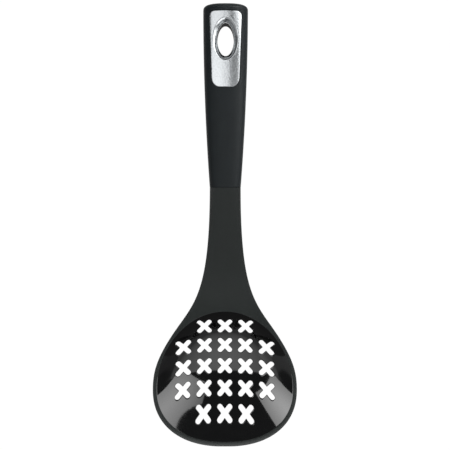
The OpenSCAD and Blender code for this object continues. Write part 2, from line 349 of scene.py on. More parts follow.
def linked(name: str, data: Any) -> Object:
    """Makes an object for a mesh, a light or a camera and links it to the scene.

    Args:
        name: Name of the object.
        data: What the object holds.

    Returns:
        The object.
    """
    made = bpy.data.objects.new(name, data)
    bpy.context.scene.collection.objects.link(made)
    return made


def mesh_points(mesh: bpy.types.Mesh) -> Array:
    """Places of a mesh's points.

    Args:
        mesh: The mesh.

    Returns:
        One row for each point.
    """
    found = np.empty(len(mesh.vertices) * 3)
    mesh.vertices.foreach_get("co", found)
    return found.reshape(-1, 3)


def area_normals(mesh: bpy.types.Mesh) -> Array:
    """Point directions in which large faces count for more than the strips of a rounding.

    Args:
        mesh: A mesh whose faces point outwards.

    Returns:
        A unit direction for each point.
    """
    mesh.calc_loop_triangles()
    points = mesh_points(mesh)
    corners = np.empty(len(mesh.loop_triangles) * 3, np.int32)
    mesh.loop_triangles.foreach_get("vertices", corners)
    first, second, third = corners.reshape(-1, 3).T
    across = np.cross(points[second] - points[first], points[third] - points[first])
    total = np.zeros_like(points)
    for corner in (first, second, third):
        np.add.at(total, corner, across)
    return total / np.maximum(np.linalg.norm(total, axis=1, keepdims=True), TINY**2)


class ToolFrame:
    """Where the tool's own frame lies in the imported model."""

    def __init__(self, record: dict, eye_y: float, box: tuple[Vector, Vector]) -> None:
        """Reads the tool's place from the hanging eye's mount.

        Args:
            record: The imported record.
            eye_y: Place of the eye along the tool.
            box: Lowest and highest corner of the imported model.
        """
        mount = next(m for m in record["mounts"] if m["name"] == "hang_eye")
        normal = np.array(mount["axis"], float)
        normal = normal / np.linalg.norm(normal)
        across = np.array([1.0, 0.0, 0.0])
        self.turn = np.column_stack([across, np.cross(normal, across), normal])
        self.origin = np.array(mount["pos_m"], float) / MM - self.turn @ np.array([0.0, eye_y, 0.0])
        self.low = np.array(box[0])
        self.high = np.array(box[1])

    def point(self, p: Sequence[float]) -> Vector:
        """One point of the tool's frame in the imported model's frame, in metres."""
        return Vector((self.turn @ np.asarray(p, float) + self.origin) * MM)

    def place(self, points: Array) -> Array:
        """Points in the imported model's frame, in metres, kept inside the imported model's box."""
        return np.clip((points @ self.turn.T + self.origin) * MM, self.low, self.high)

    def back(self, points: Array) -> Array:
        """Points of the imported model's frame, in metres, in the tool's frame."""
        return (points / MM - self.origin) @ self.turn


class Look(IntEnum):
    """Which of its piece's two finishes a face has."""

    PLAIN = 0
    POLISHED = 1


class Skin:
    """Points and faces of one piece, gathered patch by patch and then welded."""

    def __init__(self) -> None:
        """Starts with nothing."""
        self.points: list[Array] = []
        self.faces: list[tuple[int, ...]] = []
        self.looks: list[int] = []
        self.count = 0

    def patch(self, points: Array, faces: Sequence[Sequence[int]], look: Look = Look.PLAIN) -> None:
        """Adds points and the faces between them.

        Args:
            points: Points in the tool's frame.
            faces: Point numbers of each face, counted from the patch's first point.
            look: Which of the piece's finishes the faces have.
        """
        self.points.append(np.asarray(points, float))
        self.faces.extend(tuple(int(k) + self.count for k in face) for face in faces)
        self.looks.extend([int(look)] * len(faces))
        self.count += len(points)

    def strip(self, rows: Sequence[Array], closed: bool, look: Look = Look.PLAIN) -> None:
        """Joins rows that have as many points as each other with four-sided faces.

        Args:
            rows: Rows of points in the tool's frame.
            closed: Whether each row's last point leads on to its first.
            look: Which of the piece's finishes the faces have.
        """
        self.patch(np.vstack(rows), strip_faces(len(rows), len(rows[0]), closed), look)

    def join(self, other: "Skin") -> None:
        """Adds all of another skin's patches.

        Args:
            other: The other skin.
        """
        self.faces.extend(tuple(k + self.count for k in face) for face in other.faces)
        self.looks.extend(other.looks)
        self.points.extend(other.points)
        self.count += other.count

    def ring_at(self, y: float) -> Array:
        """The points at one station along the tool, in order round it.

        Args:
            y: Station along the tool.

        Returns:
            The points, without repeats.
        """
        slack, digits = 1e-6, 4
        points = np.vstack(self.points)
        found = points[np.abs(points[:, 1] - y) < slack]
        _, kept = np.unique(np.round(found, digits), axis=0, return_index=True)
        found = found[kept]
        return found[np.argsort(np.arctan2(found[:, 2], found[:, 0]))]

    def piece(self, name: str, tool: ToolFrame, materials: Sequence[Material]) -> Object:
        """Welds the patches into one mesh and links it to the scene.

        Args:
            name: Name of the piece.
            tool: The tool's frame.
            materials: The piece's finishes, in the order of Look.

        Returns:
            The new object.
        """
        mesh = bpy.data.meshes.new(name)
        mesh.from_pydata(tool.place(np.vstack(self.points)), [], self.faces)
        mesh.polygons.foreach_set("material_index", self.looks)
        body = bmesh.new()
        body.from_mesh(mesh)
        bmesh.ops.remove_doubles(body, verts=body.verts, dist=WELD)
        bmesh.ops.dissolve_degenerate(body, edges=body.edges, dist=SLIVER)
        bmesh.ops.recalc_face_normals(body, faces=body.faces)
        loose = sum(1 for edge in body.edges if len(edge.link_faces) != 2)
        body.to_mesh(mesh)
        body.free()
        mesh.shade_smooth()
        mesh.normals_split_custom_set_from_vertices(area_normals(mesh))
        for material in materials:
            mesh.materials.append(material)
        counts = (len(mesh.vertices), len(mesh.polygons), loose)
        LOG.info("%s: %d points, %d faces, %d open edges", name, *counts)
        return linked(name, mesh)


# Node trees
def add_node(tree: Any, kind: str, inputs: dict | None = None, **settings: Any) -> Any:
    """Adds a node with its settings and links.

    Args:
        tree: The node tree.
        kind: The node's type.
        inputs: Values or sockets for the node's inputs, by name or number.
        settings: The node's own properties.

    Returns:
        The node.
    """
    node = tree.nodes.new(kind)
    for key, value in settings.items():
        setattr(node, key, value)
    for key, value in (inputs or {}).items():
        if isinstance(value, bpy.types.NodeSocket):
            tree.links.new(value, node.inputs[key])
        else:
            node.inputs[key].default_value = value
    return node


class ShapeTree:
    """A Geometry Nodes tree with named inputs, which is run on a mesh to give plain points."""

    kinds: dict[type, str] = {int: "Int", float: "Float", Object: "Object"}

    def __init__(self, name: str, values: dict[str, Any]) -> None:
        """Starts the tree with its inputs.

        Args:
            name: Name of the tree.
            values: Value of each named input.
        """
        self.values = values
        self.group = bpy.data.node_groups.new(name, "GeometryNodeTree")
        inputs = {label: self.kinds[type(value)] for label, value in values.items()}
        for label, kind in {"Geometry": "Geometry", **inputs, "Finish": "Material"}.items():
            self.group.interface.new_socket(label, in_out="INPUT", socket_type="NodeSocket" + kind)
        self.group.interface.new_socket("Geometry", in_out="OUTPUT", socket_type="NodeSocketGeometry")
        given = add_node(self.group, "NodeGroupInput").outputs
        self.known: dict[Any, Any] = {socket.name: socket for socket in given}
        spot = add_node(self.group, "GeometryNodeInputPosition").outputs[0]
        parts = add_node(self.group, "ShaderNodeSeparateXYZ", {0: spot}).outputs
        self.known.update(x=parts["X"], y=parts["Y"])

    def work_out(self, sums: Sequence[tuple]) -> None:
        """Adds sums one after another.

        Args:
            sums: The result's name, the operation, and the names or numbers that it takes.
        """
        for name, operation, *terms in sums:
            inputs = {k: self.known.get(term, term) for k, term in enumerate(terms)}
            made = add_node(self.group, "ShaderNodeMath", inputs, operation=operation)
            self.known[name] = made.outputs[0]

    def close(self, shape: Any) -> None:
        """Ends the tree with real geometry that has its finish.

        Args:
            shape: Socket with the shape.
        """
        real = add_node(self.group, "GeometryNodeRealizeInstances", {0: shape}).outputs[0]
        inputs = {"Geometry": real, "Material": self.known["Finish"]}
        dressed = add_node(self.group, "GeometryNodeSetMaterial", inputs).outputs[0]
        add_node(self.group, "NodeGroupOutput", {0: dressed})

    def points(self, plan: Array, finish: Material) -> Array:
        """Runs the tree on flat points and reads back what it makes.

        Args:
            plan: Points in plan.
            finish: Finish of what the tree makes.

        Returns:
            The points of the plain mesh that the tree makes.
        """
        flat = bpy.data.meshes.new(self.group.name)
        flat.from_pydata(level(plan, 0.0), [], [])
        carrier = linked(self.group.name, flat)
        modifier = carrier.modifiers.new(self.group.name, "NODES")
        modifier.node_group = self.group
        values = {**self.values, "Finish": finish}
        for item in self.group.interface.items_tree:
            if item.in_out == "INPUT" and item.name in values:
                modifier[item.identifier] = values[item.name]
        ready = bpy.context.evaluated_depsgraph_get()
        plain = bpy.data.meshes.new_from_object(carrier.evaluated_get(ready))
        found = mesh_points(plain)
        carrier.modifiers.remove(modifier)
        bpy.data.objects.remove(carrier)
        bpy.data.meshes.remove(plain)
        bpy.data.meshes.remove(flat)
        return found


# Finishes
def linear(colour: str) -> tuple[float, float, float, float]:
    """Turns an sRGB hex colour into linear light.

    Args:
        colour: Six hex digits after a hash sign.

    Returns:
        Red, green, blue and 1.
    """
    toe, toe_slope, lift, power, full = 0.04045, 12.92, 0.055, 2.4, 255.0
    parts = [part / full for part in bytes.fromhex(colour[1:])]
    light = [c / toe_slope if c <= toe else ((c + lift) / (1.0 + lift)) ** power for c in parts]
    return (*light, 1.0)


@dataclass(frozen=True)
class Finish:
    """A surface with two close shades in soft patches, a gloss that changes with them and a grain.

    The patches' width (cloud), the grain's width and its depth are in millimetres. Painted sheen is
    extra reflection, a painted highlight, added where a piece has the mark of that name.
    """

    name: str
    deep: str
    pale: str
    smooth: float
    rough: float
    grain: float
    grain_depth: float
    cloud: float = 9.0
    specular: float = 0.5
    burnish: float = 0.0
    metallic: float = 0.0
    patch_range: tuple[float, float] = (0.3, 0.7)
    cloud_detail: float = 3.0
    grain_detail: float = 2.0
    crumble: float = 0.55

    def material(self) -> Material:
        """Builds the finish as a material.

        Returns:
            The material.
        """
        made = bpy.data.materials.new(self.name)
        made.use_nodes = True
        tree = made.node_tree
        tree.nodes.clear()
        where = add_node(tree, "ShaderNodeTexCoord").outputs["Object"]
        noises = []
        for size, detail in ((self.cloud, self.cloud_detail), (self.grain, self.grain_detail)):
            inputs = {"Vector": where, "Scale": 1.0 / (size * MM), "Detail": detail}
            noise = add_node(tree, "ShaderNodeTexNoise", {**inputs, "Roughness": self.crumble})
            noises.append(noise.outputs["Fac"])
        cloud, grain = noises
        shade = add_node(tree, "ShaderNodeValToRGB", {"Fac": cloud})
        stops = zip(shade.color_ramp.elements, self.patch_range, (self.deep, self.pale))
        for stop, place, colour in stops:
            stop.position = place
            stop.color = linear(colour)
        inputs = {
            "Value": cloud,
            "From Min": self.patch_range[0],
            "From Max": self.patch_range[1],
            "To Min": self.smooth,
            "To Max": self.rough,
        }
        gloss = add_node(tree, "ShaderNodeMapRange", inputs)
        bump = add_node(tree, "ShaderNodeBump", {"Height": grain, "Distance": self.grain_depth * MM})
        # The mark raises the reflection where a piece carries it: a painted highlight, not wear
        sheen_mark = add_node(tree, "ShaderNodeAttribute", attribute_name=PAINTED_SHEEN).outputs["Fac"]
        inputs = {0: sheen_mark, 1: self.burnish, 2: self.specular}
        shine = add_node(tree, "ShaderNodeMath", inputs, operation="MULTIPLY_ADD").outputs[0]
        inputs = {
            "Base Color": shade.outputs["Color"],
            "Metallic": self.metallic,
            "Roughness": gloss.outputs["Result"],
            "Normal": bump.outputs["Normal"],
            "Specular IOR Level": shine,
        }
        shader = add_node(tree, "ShaderNodeBsdfPrincipled", inputs)
        add_node(tree, "ShaderNodeOutputMaterial", {"Surface": shader.outputs["BSDF"]})
        return made


# Bright metal, whose shade and gloss change with its grit
METAL: dict[str, Any] = {
    "smooth": 0.16,
    "rough": 0.22,
    "metallic": 1.0,
    "patch_range": (0.35, 0.6),
    "cloud_detail": 1.0,
    "grain_detail": 1.0,
    "crumble": 0.5,
}


class Surface(Enum):
    """The finishes of the ladle."""

    # Nylon moulded in a spark-eroded tool: dry, even charcoal whose grain breaks up highlights.
    # The grain is drawn several times its real width, so that it shows. The bowl's edge is a
    # little shinier, most of all at the tip: a painted highlight that stands in for light on the rim.
    MATTE_NYLON = Finish(
        "nylon_spark_grained", "#121615", "#161a19", 0.46, 0.54, 0.5, 0.015, specular=0.18, burnish=0.55
    )
    # The same nylon against a polished tool: wet-looking black with a slow ripple
    POLISHED_NYLON = Finish("nylon_polished", "#050505", "#080808", 0.04, 0.055, 3.0, 0.002)
    # Thermoplastic rubber moulded over the cores: velvety blue-black, its grain also drawn wide
    SOFT_RUBBER = Finish(
        "rubber_soft_touch", "#0c1113", "#101517", 0.46, 0.54, 0.4, 0.012, specular=0.15
    )
    # Polypropylene of the cores inside the grip: dull dark grey as it left the mould
    CORE_PLASTIC = Finish("polypropylene_moulded", "#1b1c1d", "#222324", 0.4, 0.5, 0.6, 0.02)
    # Black ABS that lines the hanging eye: so deep and dull that the eye reads as a dark hole
    LINER_PLASTIC = Finish(
        "abs_moulded_black", "#040404", "#070707", 0.5, 0.6, 0.6, 0.01, specular=0.05
    )
    # Bead-blasted aluminium: silver with a fine sparkle, drawn wider than real beads leave it
    SATIN_METAL = Finish(
        "aluminium_bead_blasted", "#b2b5b7", "#bec1c3",
        grain=0.95, grain_depth=0.055, cloud=0.95, **METAL,
    )
    # The dish round the eye, pressed by a polished punch: brighter and smoother
    POLISHED_METAL = Finish(
        "aluminium_polished", "#b4b7b9", "#c8cbcd",
        grain=1.5, grain_depth=0.003, cloud=1.5, **METAL,
    )


class Palette:
    """Keeps one material for each finish."""

    def __init__(self) -> None:
        """Starts with nothing built."""
        self.made: dict[Surface, Material] = {}

    def __call__(self, surface: Surface) -> Material:
        """The finish's material, built when it is first asked for.

        Args:
            surface: The finish.

        Returns:
            The material.
        """
        if surface not in self.made:
            self.made[surface] = surface.value.material()
        return self.made[surface]


@dataclass(frozen=True)
class HandleForm:
    """Outside form of the handle, from the joint to the rounded end."""

    length: float = 137.5
    end_width: float = 33.6
    joint_width: float = 23.2
    end_thickness: float = 17.2
    joint_thickness: float = 13.2
    end_round: float = 5.5
    end_power: float = 3.0
    section_power: float = 2.7

    def closing(self, y: Array, inset: float) -> Array:
        """Share of the full section that is left in the rounded end."""
        past = np.maximum(0.0, y - (self.length - self.end_round))
        return falling(np.minimum(1.0, past / (self.end_round - inset)), self.end_power, self.end_power)

    def half_width(self, y: Array, inset: float = 0.0) -> Array:
        """Half width at a station, set in by a wall."""
        width = mix(self.end_width, self.joint_width, (1.0 - y / self.length) ** 2)
        return (width / 2.0 - inset) * self.closing(y, inset)

    def half_thickness(self, y: Array, inset: float = 0.0) -> Array:
        """Half thickness at a station, set in by a wall.

        Args:
            y: Stations along the tool.
            inset: Thickness of the wall.

        Returns:
            One half thickness for each station.
        """
        rise = np.sin(np.pi / 2.0 * np.clip(y / self.length, 0.0, 1.0))
        thickness = mix(self.joint_thickness, self.end_thickness, rise)
        return (thickness / 2.0 - inset) * self.closing(y, inset)

    def face(self, x: Array, y: Array, inset: float = 0.0) -> Array:
        """Height of the front face over the middle plane."""
        across = np.minimum(1.0, np.abs(x) / np.maximum(self.half_width(y, inset), TINY))
        return self.half_thickness(y, inset) * falling(across, self.section_power, self.section_power)

    def on_face(self, plan: Array, inset: float = 0.0, side: float = 1.0) -> Array:
        """Points of the front or back face over points in plan.

        Args:
            plan: Points in plan.
            inset: Depth below the outside face.
            side: 1 for the front, -1 for the back.

        Returns:
            The points on the face.
        """
        x, y = plan.T
        return np.column_stack([x, y, side * self.face(x, y, inset)])

    def side_curve(self, start: float, spacing: float) -> Array:
        """The right-hand outline from a station near the joint to the middle of the end.

        Args:
            start: Station where the curve starts.
            spacing: Distance between points.

        Returns:
            Points in plan.
        """
        fine = 400
        body = np.linspace(start, self.length - self.end_round, fine)
        angle = np.linspace(0.0, np.pi / 2.0, fine)[1:]
        turn = self.length - self.end_round + self.end_round * np.sin(angle) ** (2.0 / self.end_power)
        y = np.concatenate([body, turn])
        curve = np.column_stack([self.half_width(y), y])
        curve[-1] = [0.0, self.length]
        return spaced(curve, spacing)

    def joint_rows(self, ring: Array, steps: int) -> list[Array]:
        """Rows that round the end of the neck or the grip over to the joint line.

        Args:
            ring: Section where the rounding starts, as far from the joint as the rounding is big.
            steps: Number of strips across the rounding.

        Returns:
            The rows, from the section to the joint line.
        """
        rows = []
        for turn in np.linspace(0.0, np.pi / 2.0, steps + 1):
            inset = 2.0 * abs(ring[0, 1]) * (1.0 - math.cos(turn))
            across = 1.0 - inset / self.joint_width
            through = 1.0 - inset / self.joint_thickness
            rows.append(ring * [across, 1.0 - math.sin(turn), through])
        return rows


@dataclass
class DrainSlots:
    """The field of X-shaped drain slots, which a node tree sets out in rows."""

    pitch_across: float = 15.6
    pitch_along: float = 15.3
    span: float = 11.0
    arm: float = 3.8
    columns: int = 5
    rows: int = 5
    end_columns: int = 3
    lip: float = 0.5
    margin: float = 0.3
    lip_steps: int = 4
    end_steps: int = 10
    arm_steps: int = 3

    def outline(self, grow: float) -> Array:
        """One slot's edge, grown outwards.

        Args:
            grow: Distance from the slot's own edge.

        Returns:
            Points in plan round the slot's middle.
        """
        half = self.arm / 2.0 + grow
        reach = (self.span - self.arm) / math.sqrt(2.0)
        corners = [math.radians(45.0 + 90.0 * quarter) for quarter in range(4)]
        ends = []
        for a in corners:
            turn = np.linspace(a - np.pi / 2.0, a + np.pi / 2.0, self.end_steps + 1)
            ends.append(reach * heading(a) + half * heading(turn))
        steps = np.linspace(0.0, 1.0, self.arm_steps + 1)[1:, None]
        points = []
        for a, end, following in zip(corners, ends, ends[1:] + ends[:1]):
            notch = half * math.sqrt(2.0) * heading(a + np.pi / 4.0)
            points.extend([end, mix(end[-1], notch, steps), mix(notch, following[0], steps)[:-1]])
        return np.vstack(points)

    def one_slot(self, finish: Material) -> Object:
        """A flat collar round one slot: its edge, the start of its lip and a margin.

        Args:
            finish: Finish of the slot's edge.

        Returns:
            The collar, linked to the scene.
        """
        rings = [self.outline(grow) for grow in (0.0, self.lip, self.lip + self.margin)]
        mesh = bpy.data.meshes.new("slot_collar")
        faces = strip_faces(len(rings), len(rings[0]), closed=True)
        mesh.from_pydata(level(np.vstack(rings), 0.0), [], faces)
        mesh.materials.append(finish)
        return linked("slot_collar", mesh)

    def tree(self, collar: Object) -> ShapeTree:
        """Builds the node tree that repeats a collar in rows, with fewer in the end rows.

        Args:
            collar: The collar of one slot.

        Returns:
            The tree.
        """
        values = {
            "Slot": collar,
            "Columns": self.columns,
            "Rows": self.rows,
            "Pitch across": self.pitch_across,
            "Pitch along": self.pitch_along,
            "End row columns": self.end_columns,
        }
        tree = ShapeTree("drain_slot_rows", values)
        sums = (
            ("gaps across", "SUBTRACT", "Columns", 1.0),
            ("gaps along", "SUBTRACT", "Rows", 1.0),
            ("width", "MULTIPLY", "gaps across", "Pitch across"),
            ("length", "MULTIPLY", "gaps along", "Pitch along"),
            ("inner gaps", "SUBTRACT", "gaps along", 1.0),
            ("inner length", "MULTIPLY", "inner gaps", "Pitch along"),
            ("end line", "MULTIPLY", "inner length", 0.5),
            ("end width", "MULTIPLY", "End row columns", "Pitch across"),
            ("end reach", "MULTIPLY", "end width", 0.5),
            ("far along", "ABSOLUTE", "y"),
            ("far across", "ABSOLUTE", "x"),
            ("in end row", "GREATER_THAN", "far along", "end line"),
            ("past end", "GREATER_THAN", "far across", "end reach"),
            ("left out", "MULTIPLY", "in end row", "past end"),
        )
        tree.work_out(sums)
        known = tree.known
        inputs = {"Size X": known["width"], "Size Y": known["length"]}
        inputs.update({"Vertices X": known["Columns"], "Vertices Y": known["Rows"]})
        grid = add_node(tree.group, "GeometryNodeMeshGrid", inputs).outputs["Mesh"]
        inputs = {"Geometry": grid, "Selection": known["left out"]}
        places = add_node(tree.group, "GeometryNodeDeleteGeometry", inputs).outputs[0]
        inputs = {"Object": known["Slot"], "As Instance": True}
        slot = add_node(tree.group, "GeometryNodeObjectInfo", inputs).outputs["Geometry"]
        inputs = {"Points": places, "Instance": slot}
        rows = add_node(tree.group, "GeometryNodeInstanceOnPoints", inputs).outputs[0]
        tree.close(rows)
        return tree

    def collars(self, middle_y: float, finish: Material) -> Array:
        """Sets the slots out and reads back their collars.

        Args:
            middle_y: Place of the middle row along the tool.
            finish: Finish of the slots' edges.

        Returns:
            Points in plan, by slot, ring and place along the ring.
        """
        collar = self.one_slot(finish)
        found = self.tree(collar).points(np.zeros((0, 2)), finish)
        bpy.data.objects.remove(collar)
        return found[:, :2].reshape(-1, 3, len(self.outline(0.0)), 2) + [0.0, middle_y]


@dataclass
class SpoonHead:
    """Neck, slotted bowl and the tang inside the handle, moulded in one piece."""

    handle: HandleForm
    slots: DrainSlots = field(default_factory=DrainSlots)
    bowl_start: float = 92.5
    neck_pull: float = 82.0
    shoulder_drop: float = 16.4
    shoulder_width: float = 77.4
    shoulder_slope: float = 0.67
    shoulder_neck_pull: float = 22.0
    shoulder_bowl_pull: float = 16.5
    neck_back: float = 4.6
    neck_blend: float = 7.0
    bowl_width: float = 103.4
    bowl_length: float = 87.3
    widest_drop: float = 51.1
    widest_pull: float = 9.5
    tip_power: float = 2.3
    crest_power: float = 1.95
    bowl_depth: float = 37.3
    deepest_drop: float = 44.6
    floor_power: float = 2.5
    bowl_wall: float = 2.5
    rim_width: float = 2.8
    rim_tilt: float = 24.8
    bend_start: float = 62.0
    bend_length: float = 40.0
    slot_middle_drop: float = 43.1
    # The rim's rounding grows from the neck's edge to its full size on the bowl
    rim_round: float = 1.7
    least_round: float = 0.02
    rim_round_start: float = 35.0
    rim_round_run: float = 50.0
    # Shares of the rounding that lie on the front, on the back and outside the outline
    rim_front: float = 0.66
    rim_back: float = 0.16
    rim_out: float = 0.34
    mouth_round: float = 0.6
    mouth_floor_round: float = 0.3
    joint_round: float = 0.3
    tang_length: float = 70.0
    tang_width: float = 12.0
    tang_thickness: float = 5.0
    tang_chamfer: float = 0.8
    tang_hole: float = 5.0
    tang_hole_places: tuple[float, float] = (20.0, 52.0)
    tang_root: float = 1.0
    tang_step: float = 3.0
    hole_facets: int = 32
    curve_steps: int = 600
    arc_steps: int = 900
    mesh_step: float = 1.3
    round_steps: int = 5
    mouth_matte_steps: int = 3
    strip_width: float = 1.4
    strip_shares: tuple[float, ...] = (0.0, 0.12, 0.4, 1.0)
    # How far the polished floor's shading is leaned, tilted and kept from getting steep
    gloss_lean: float = 0.66
    gloss_limit: float = 0.95
    gloss_limit_power: float = 4.0
    gloss_tilt: float = 10.0
    gloss_facing: float = 0.05
    # How strong the rim's painted highlight is at the bowl's crest, where the tip's curve starts and at
    # the tip
    rim_painted_sheen: tuple[float, float, float] = (0.0, 0.3, 1.0)
    tip_run: float = 12.0
    # How near a point of the floor has to be to it, and how far apart its slope is probed
    floor_slack: float = 0.01
    floor_probe: float = 0.05

    def __post_init__(self) -> None:
        """Works out the lines and half sizes that several methods share."""
        self.crest_y = -self.bowl_start
        self.shoulder_y = self.crest_y - self.shoulder_drop
        self.widest_y = self.crest_y - self.widest_drop
        self.deepest_y = self.crest_y - self.deepest_drop
        self.inner_tip_y = self.crest_y - self.bowl_length
        self.tip_y = self.inner_tip_y - self.rim_width
        self.joint_half_width = self.handle.joint_width / 2.0
        self.joint_half_thickness = self.handle.joint_thickness / 2.0
        self.bowl_half = self.bowl_width / 2.0
        self.hollow_half = self.bowl_half - self.rim_width
        self.outer_depth = self.bowl_depth + self.bowl_wall / math.cos(math.radians(self.rim_tilt))
        self.rim_slope = math.tan(math.radians(self.rim_tilt))
        self.dense = self.dense_outline()

    def dense_outline(self) -> Array:
        """Closely spaced points of the right-hand outline.

        Returns:
            Points in plan, from the joint to the tip.
        """
        shoulder = np.array([self.shoulder_width / 2.0, self.shoulder_y])
        lean = np.array([-self.shoulder_slope, 1.0])
        neck = [
            (self.joint_half_width, 0.0),
            (self.joint_half_width, -self.neck_pull),
            shoulder + self.shoulder_neck_pull * lean,
            shoulder,
        ]
        side = [
            shoulder,
            shoulder - self.shoulder_bowl_pull * lean,
            (self.bowl_half, self.widest_y + self.widest_pull),
            (self.bowl_half, self.widest_y),
        ]
        t = np.linspace(0.0, 1.0, self.curve_steps)
        tip = self.arc(self.bowl_half, self.tip_y - self.widest_y, self.tip_power)
        return np.vstack([bezier(neck, t)[:-1], bezier(side, t)[:-1], tip])

    def arc(self, half: float, reach: float, power: float) -> Array:
        """A quarter of a superellipse from the widest line to the middle.

        Args:
            half: Half width on the widest line.
            reach: Distance along the tool to the middle, with its sign.
            power: Squareness of the curve.

        Returns:
            Points in plan.
        """
        a = np.linspace(0.0, np.pi / 2.0, self.arc_steps)
        x = half * np.abs(np.cos(a)) ** (2.0 / power)
        x[-1] = 0.0
        return np.column_stack([x, self.widest_y + reach * np.sin(a) ** (2.0 / power)])

    def half_width(self, y: Array) -> Array:
        """Half width of the outline at a station."""
        return np.interp(-y, -self.dense[:, 1], self.dense[:, 0])

    def edge_height(self, y: Array) -> Array:
        """Height of the front's edge line seen from the side.

        Args:
            y: Stations along the tool.

        Returns:
            One height for each station.
        """
        past = np.maximum(0.0, -y - self.bend_start)
        bent = np.minimum(past, self.bend_length)
        return self.rim_slope * (bent**2 / (2.0 * self.bend_length) + past - bent)

    def neck_share(self, y: Array) -> Array:
        """1 at the joint, falling to 0 where the bowl starts."""
        return ease((y - self.crest_y) / self.bowl_start)

    def crown(self, y: Array) -> Array:
        """Height of the neck's rounded front over the edge line."""
        return self.joint_half_thickness * self.neck_share(y)

    def back_depth(self, y: Array) -> Array:
        """Depth of the back behind the edge line on the tool's middle line.

        Args:
            y: Stations along the tool.

        Returns:
            One depth for each station.
        """
        past = y - self.deepest_y
        crest = self.deepest_drop + self.rim_width
        away = np.where(past > 0.0, past / crest, past / (self.tip_y - self.deepest_y))
        bowl = self.outer_depth * (1.0 - np.abs(away) ** self.floor_power)
        neck = mix(self.neck_back, self.joint_half_thickness, self.neck_share(y))
        blend = self.neck_blend * ease(y / self.crest_y) * ease(past / self.deepest_drop)
        return np.where(past < 0.0, np.maximum(0.0, bowl), smooth_max(bowl, neck, blend))

    def across(self, plan: Array) -> Array:
        """Places across the tool, from -1 at the left edge to 1 at the right edge."""
        return np.clip(plan[:, 0] / np.maximum(self.half_width(plan[:, 1]), TINY), -1.0, 1.0)

    def on_front(self, plan: Array) -> Array:
        """Points of the front over points in plan.

        Args:
            plan: Points in plan.

        Returns:
            The points on the front.
        """
        y = plan[:, 1]
        power = self.handle.section_power
        crown = self.crown(y) * falling(self.across(plan), power, power)
        return np.column_stack([plan, self.edge_height(y) + crown])

    def on_back(self, plan: Array) -> Array:
        """Points of the back under points in plan.

        Args:
            plan: Points in plan.

        Returns:
            The points on the back.
        """
        y = plan[:, 1]
        section = self.handle.section_power
        power = mix(self.floor_power, section, self.neck_share(y))
        root = mix(section, 1.0, ease((self.bend_start + y) / (self.bend_start + self.deepest_y)))
        depth = self.back_depth(y) * falling(self.across(plan), power, root)
        return np.column_stack([plan, self.edge_height(y) - depth])

    @cached_property
    def floor_sizes(self) -> dict[str, float]:
        """Sizes of the bowl's floor, by the names of its node tree's inputs.

        Returns:
            The sizes.
        """
        return {
            "Half width": self.hollow_half,
            "Widest line": self.widest_y,
            "Crest line": self.crest_y,
            "Crest power": self.crest_power,
            "Tip line": self.inner_tip_y,
            "Tip power": self.tip_power,
            "Deepest line": self.deepest_y,
            "Depth": self.bowl_depth,
            "Floor power": self.floor_power,
            "Bend start": self.bend_start,
            "Bend length": self.bend_length,
            "Rim slope": self.rim_slope,
        }

    @cached_property
    def floor_tree(self) -> ShapeTree:
        """Builds the node tree that sinks flat points into the bowl's floor.

        Returns:
            The tree.
        """
        tree = ShapeTree("bowl_floor", self.floor_sizes)
        for end in ("Crest", "Tip"):
            sums = (
                ("past widest", "SUBTRACT", "y", "Widest line"),
                ("reach", "SUBTRACT", end + " line", "Widest line"),
                ("share", "DIVIDE", "past widest", "reach"),
                ("share", "MAXIMUM", "share", 0.0),
                ("share", "MINIMUM", "share", 1.0),
                ("fall", "POWER", "share", end + " power"),
                ("left", "SUBTRACT", 1.0, "fall"),
                ("root", "DIVIDE", 1.0, end + " power"),
                (end + " width", "POWER", "left", "root"),
                ("past deepest", "SUBTRACT", "y", "Deepest line"),
                ("reach", "SUBTRACT", end + " line", "Deepest line"),
                (end + " away", "DIVIDE", "past deepest", "reach"),
            )
            tree.work_out(sums)
        sums = (
            ("width share", "MINIMUM", "Crest width", "Tip width"),
            ("half", "MULTIPLY", "width share", "Half width"),
            ("half", "MAXIMUM", "half", TINY),
            ("off middle", "ABSOLUTE", "x"),
            ("side", "DIVIDE", "off middle", "half"),
            ("side", "MINIMUM", "side", 1.0),
            ("side fall", "POWER", "side", "Floor power"),
            ("across", "SUBTRACT", 1.0, "side fall"),
            ("away", "MAXIMUM", "Crest away", "Tip away"),
            ("away", "MINIMUM", "away", 1.0),
            ("away fall", "POWER", "away", "Floor power"),
            ("along", "SUBTRACT", 1.0, "away fall"),
            ("sunk share", "MULTIPLY", "across", "along"),
            ("sunk", "MULTIPLY", "sunk share", "Depth"),
            ("to bend", "ADD", "y", "Bend start"),
            ("past bend", "MULTIPLY", "to bend", -1.0),
            ("past bend", "MAXIMUM", "past bend", 0.0),
            ("bent", "MINIMUM", "past bend", "Bend length"),
            ("straight", "SUBTRACT", "past bend", "bent"),
            ("curve", "MULTIPLY", "bent", "bent"),
            ("curve", "DIVIDE", "curve", "Bend length"),
            ("rise", "MULTIPLY_ADD", "curve", 0.5, "straight"),
            ("edge", "MULTIPLY", "rise", "Rim slope"),
            ("height", "SUBTRACT", "edge", "sunk"),
        )
        tree.work_out(sums)
        lift = add_node(tree.group, "ShaderNodeCombineXYZ", {"Z": tree.known["height"]}).outputs[0]
        inputs = {"Geometry": tree.known["Geometry"], "Offset": lift}
        tree.close(add_node(tree.group, "GeometryNodeSetPosition", inputs).outputs[0])
        return tree

    def on_floor(self, plan: Array, finish: Material) -> Array:
        """Points of the bowl's floor under points in plan, from the floor's node tree."""
        return self.floor_tree.points(plan, finish)

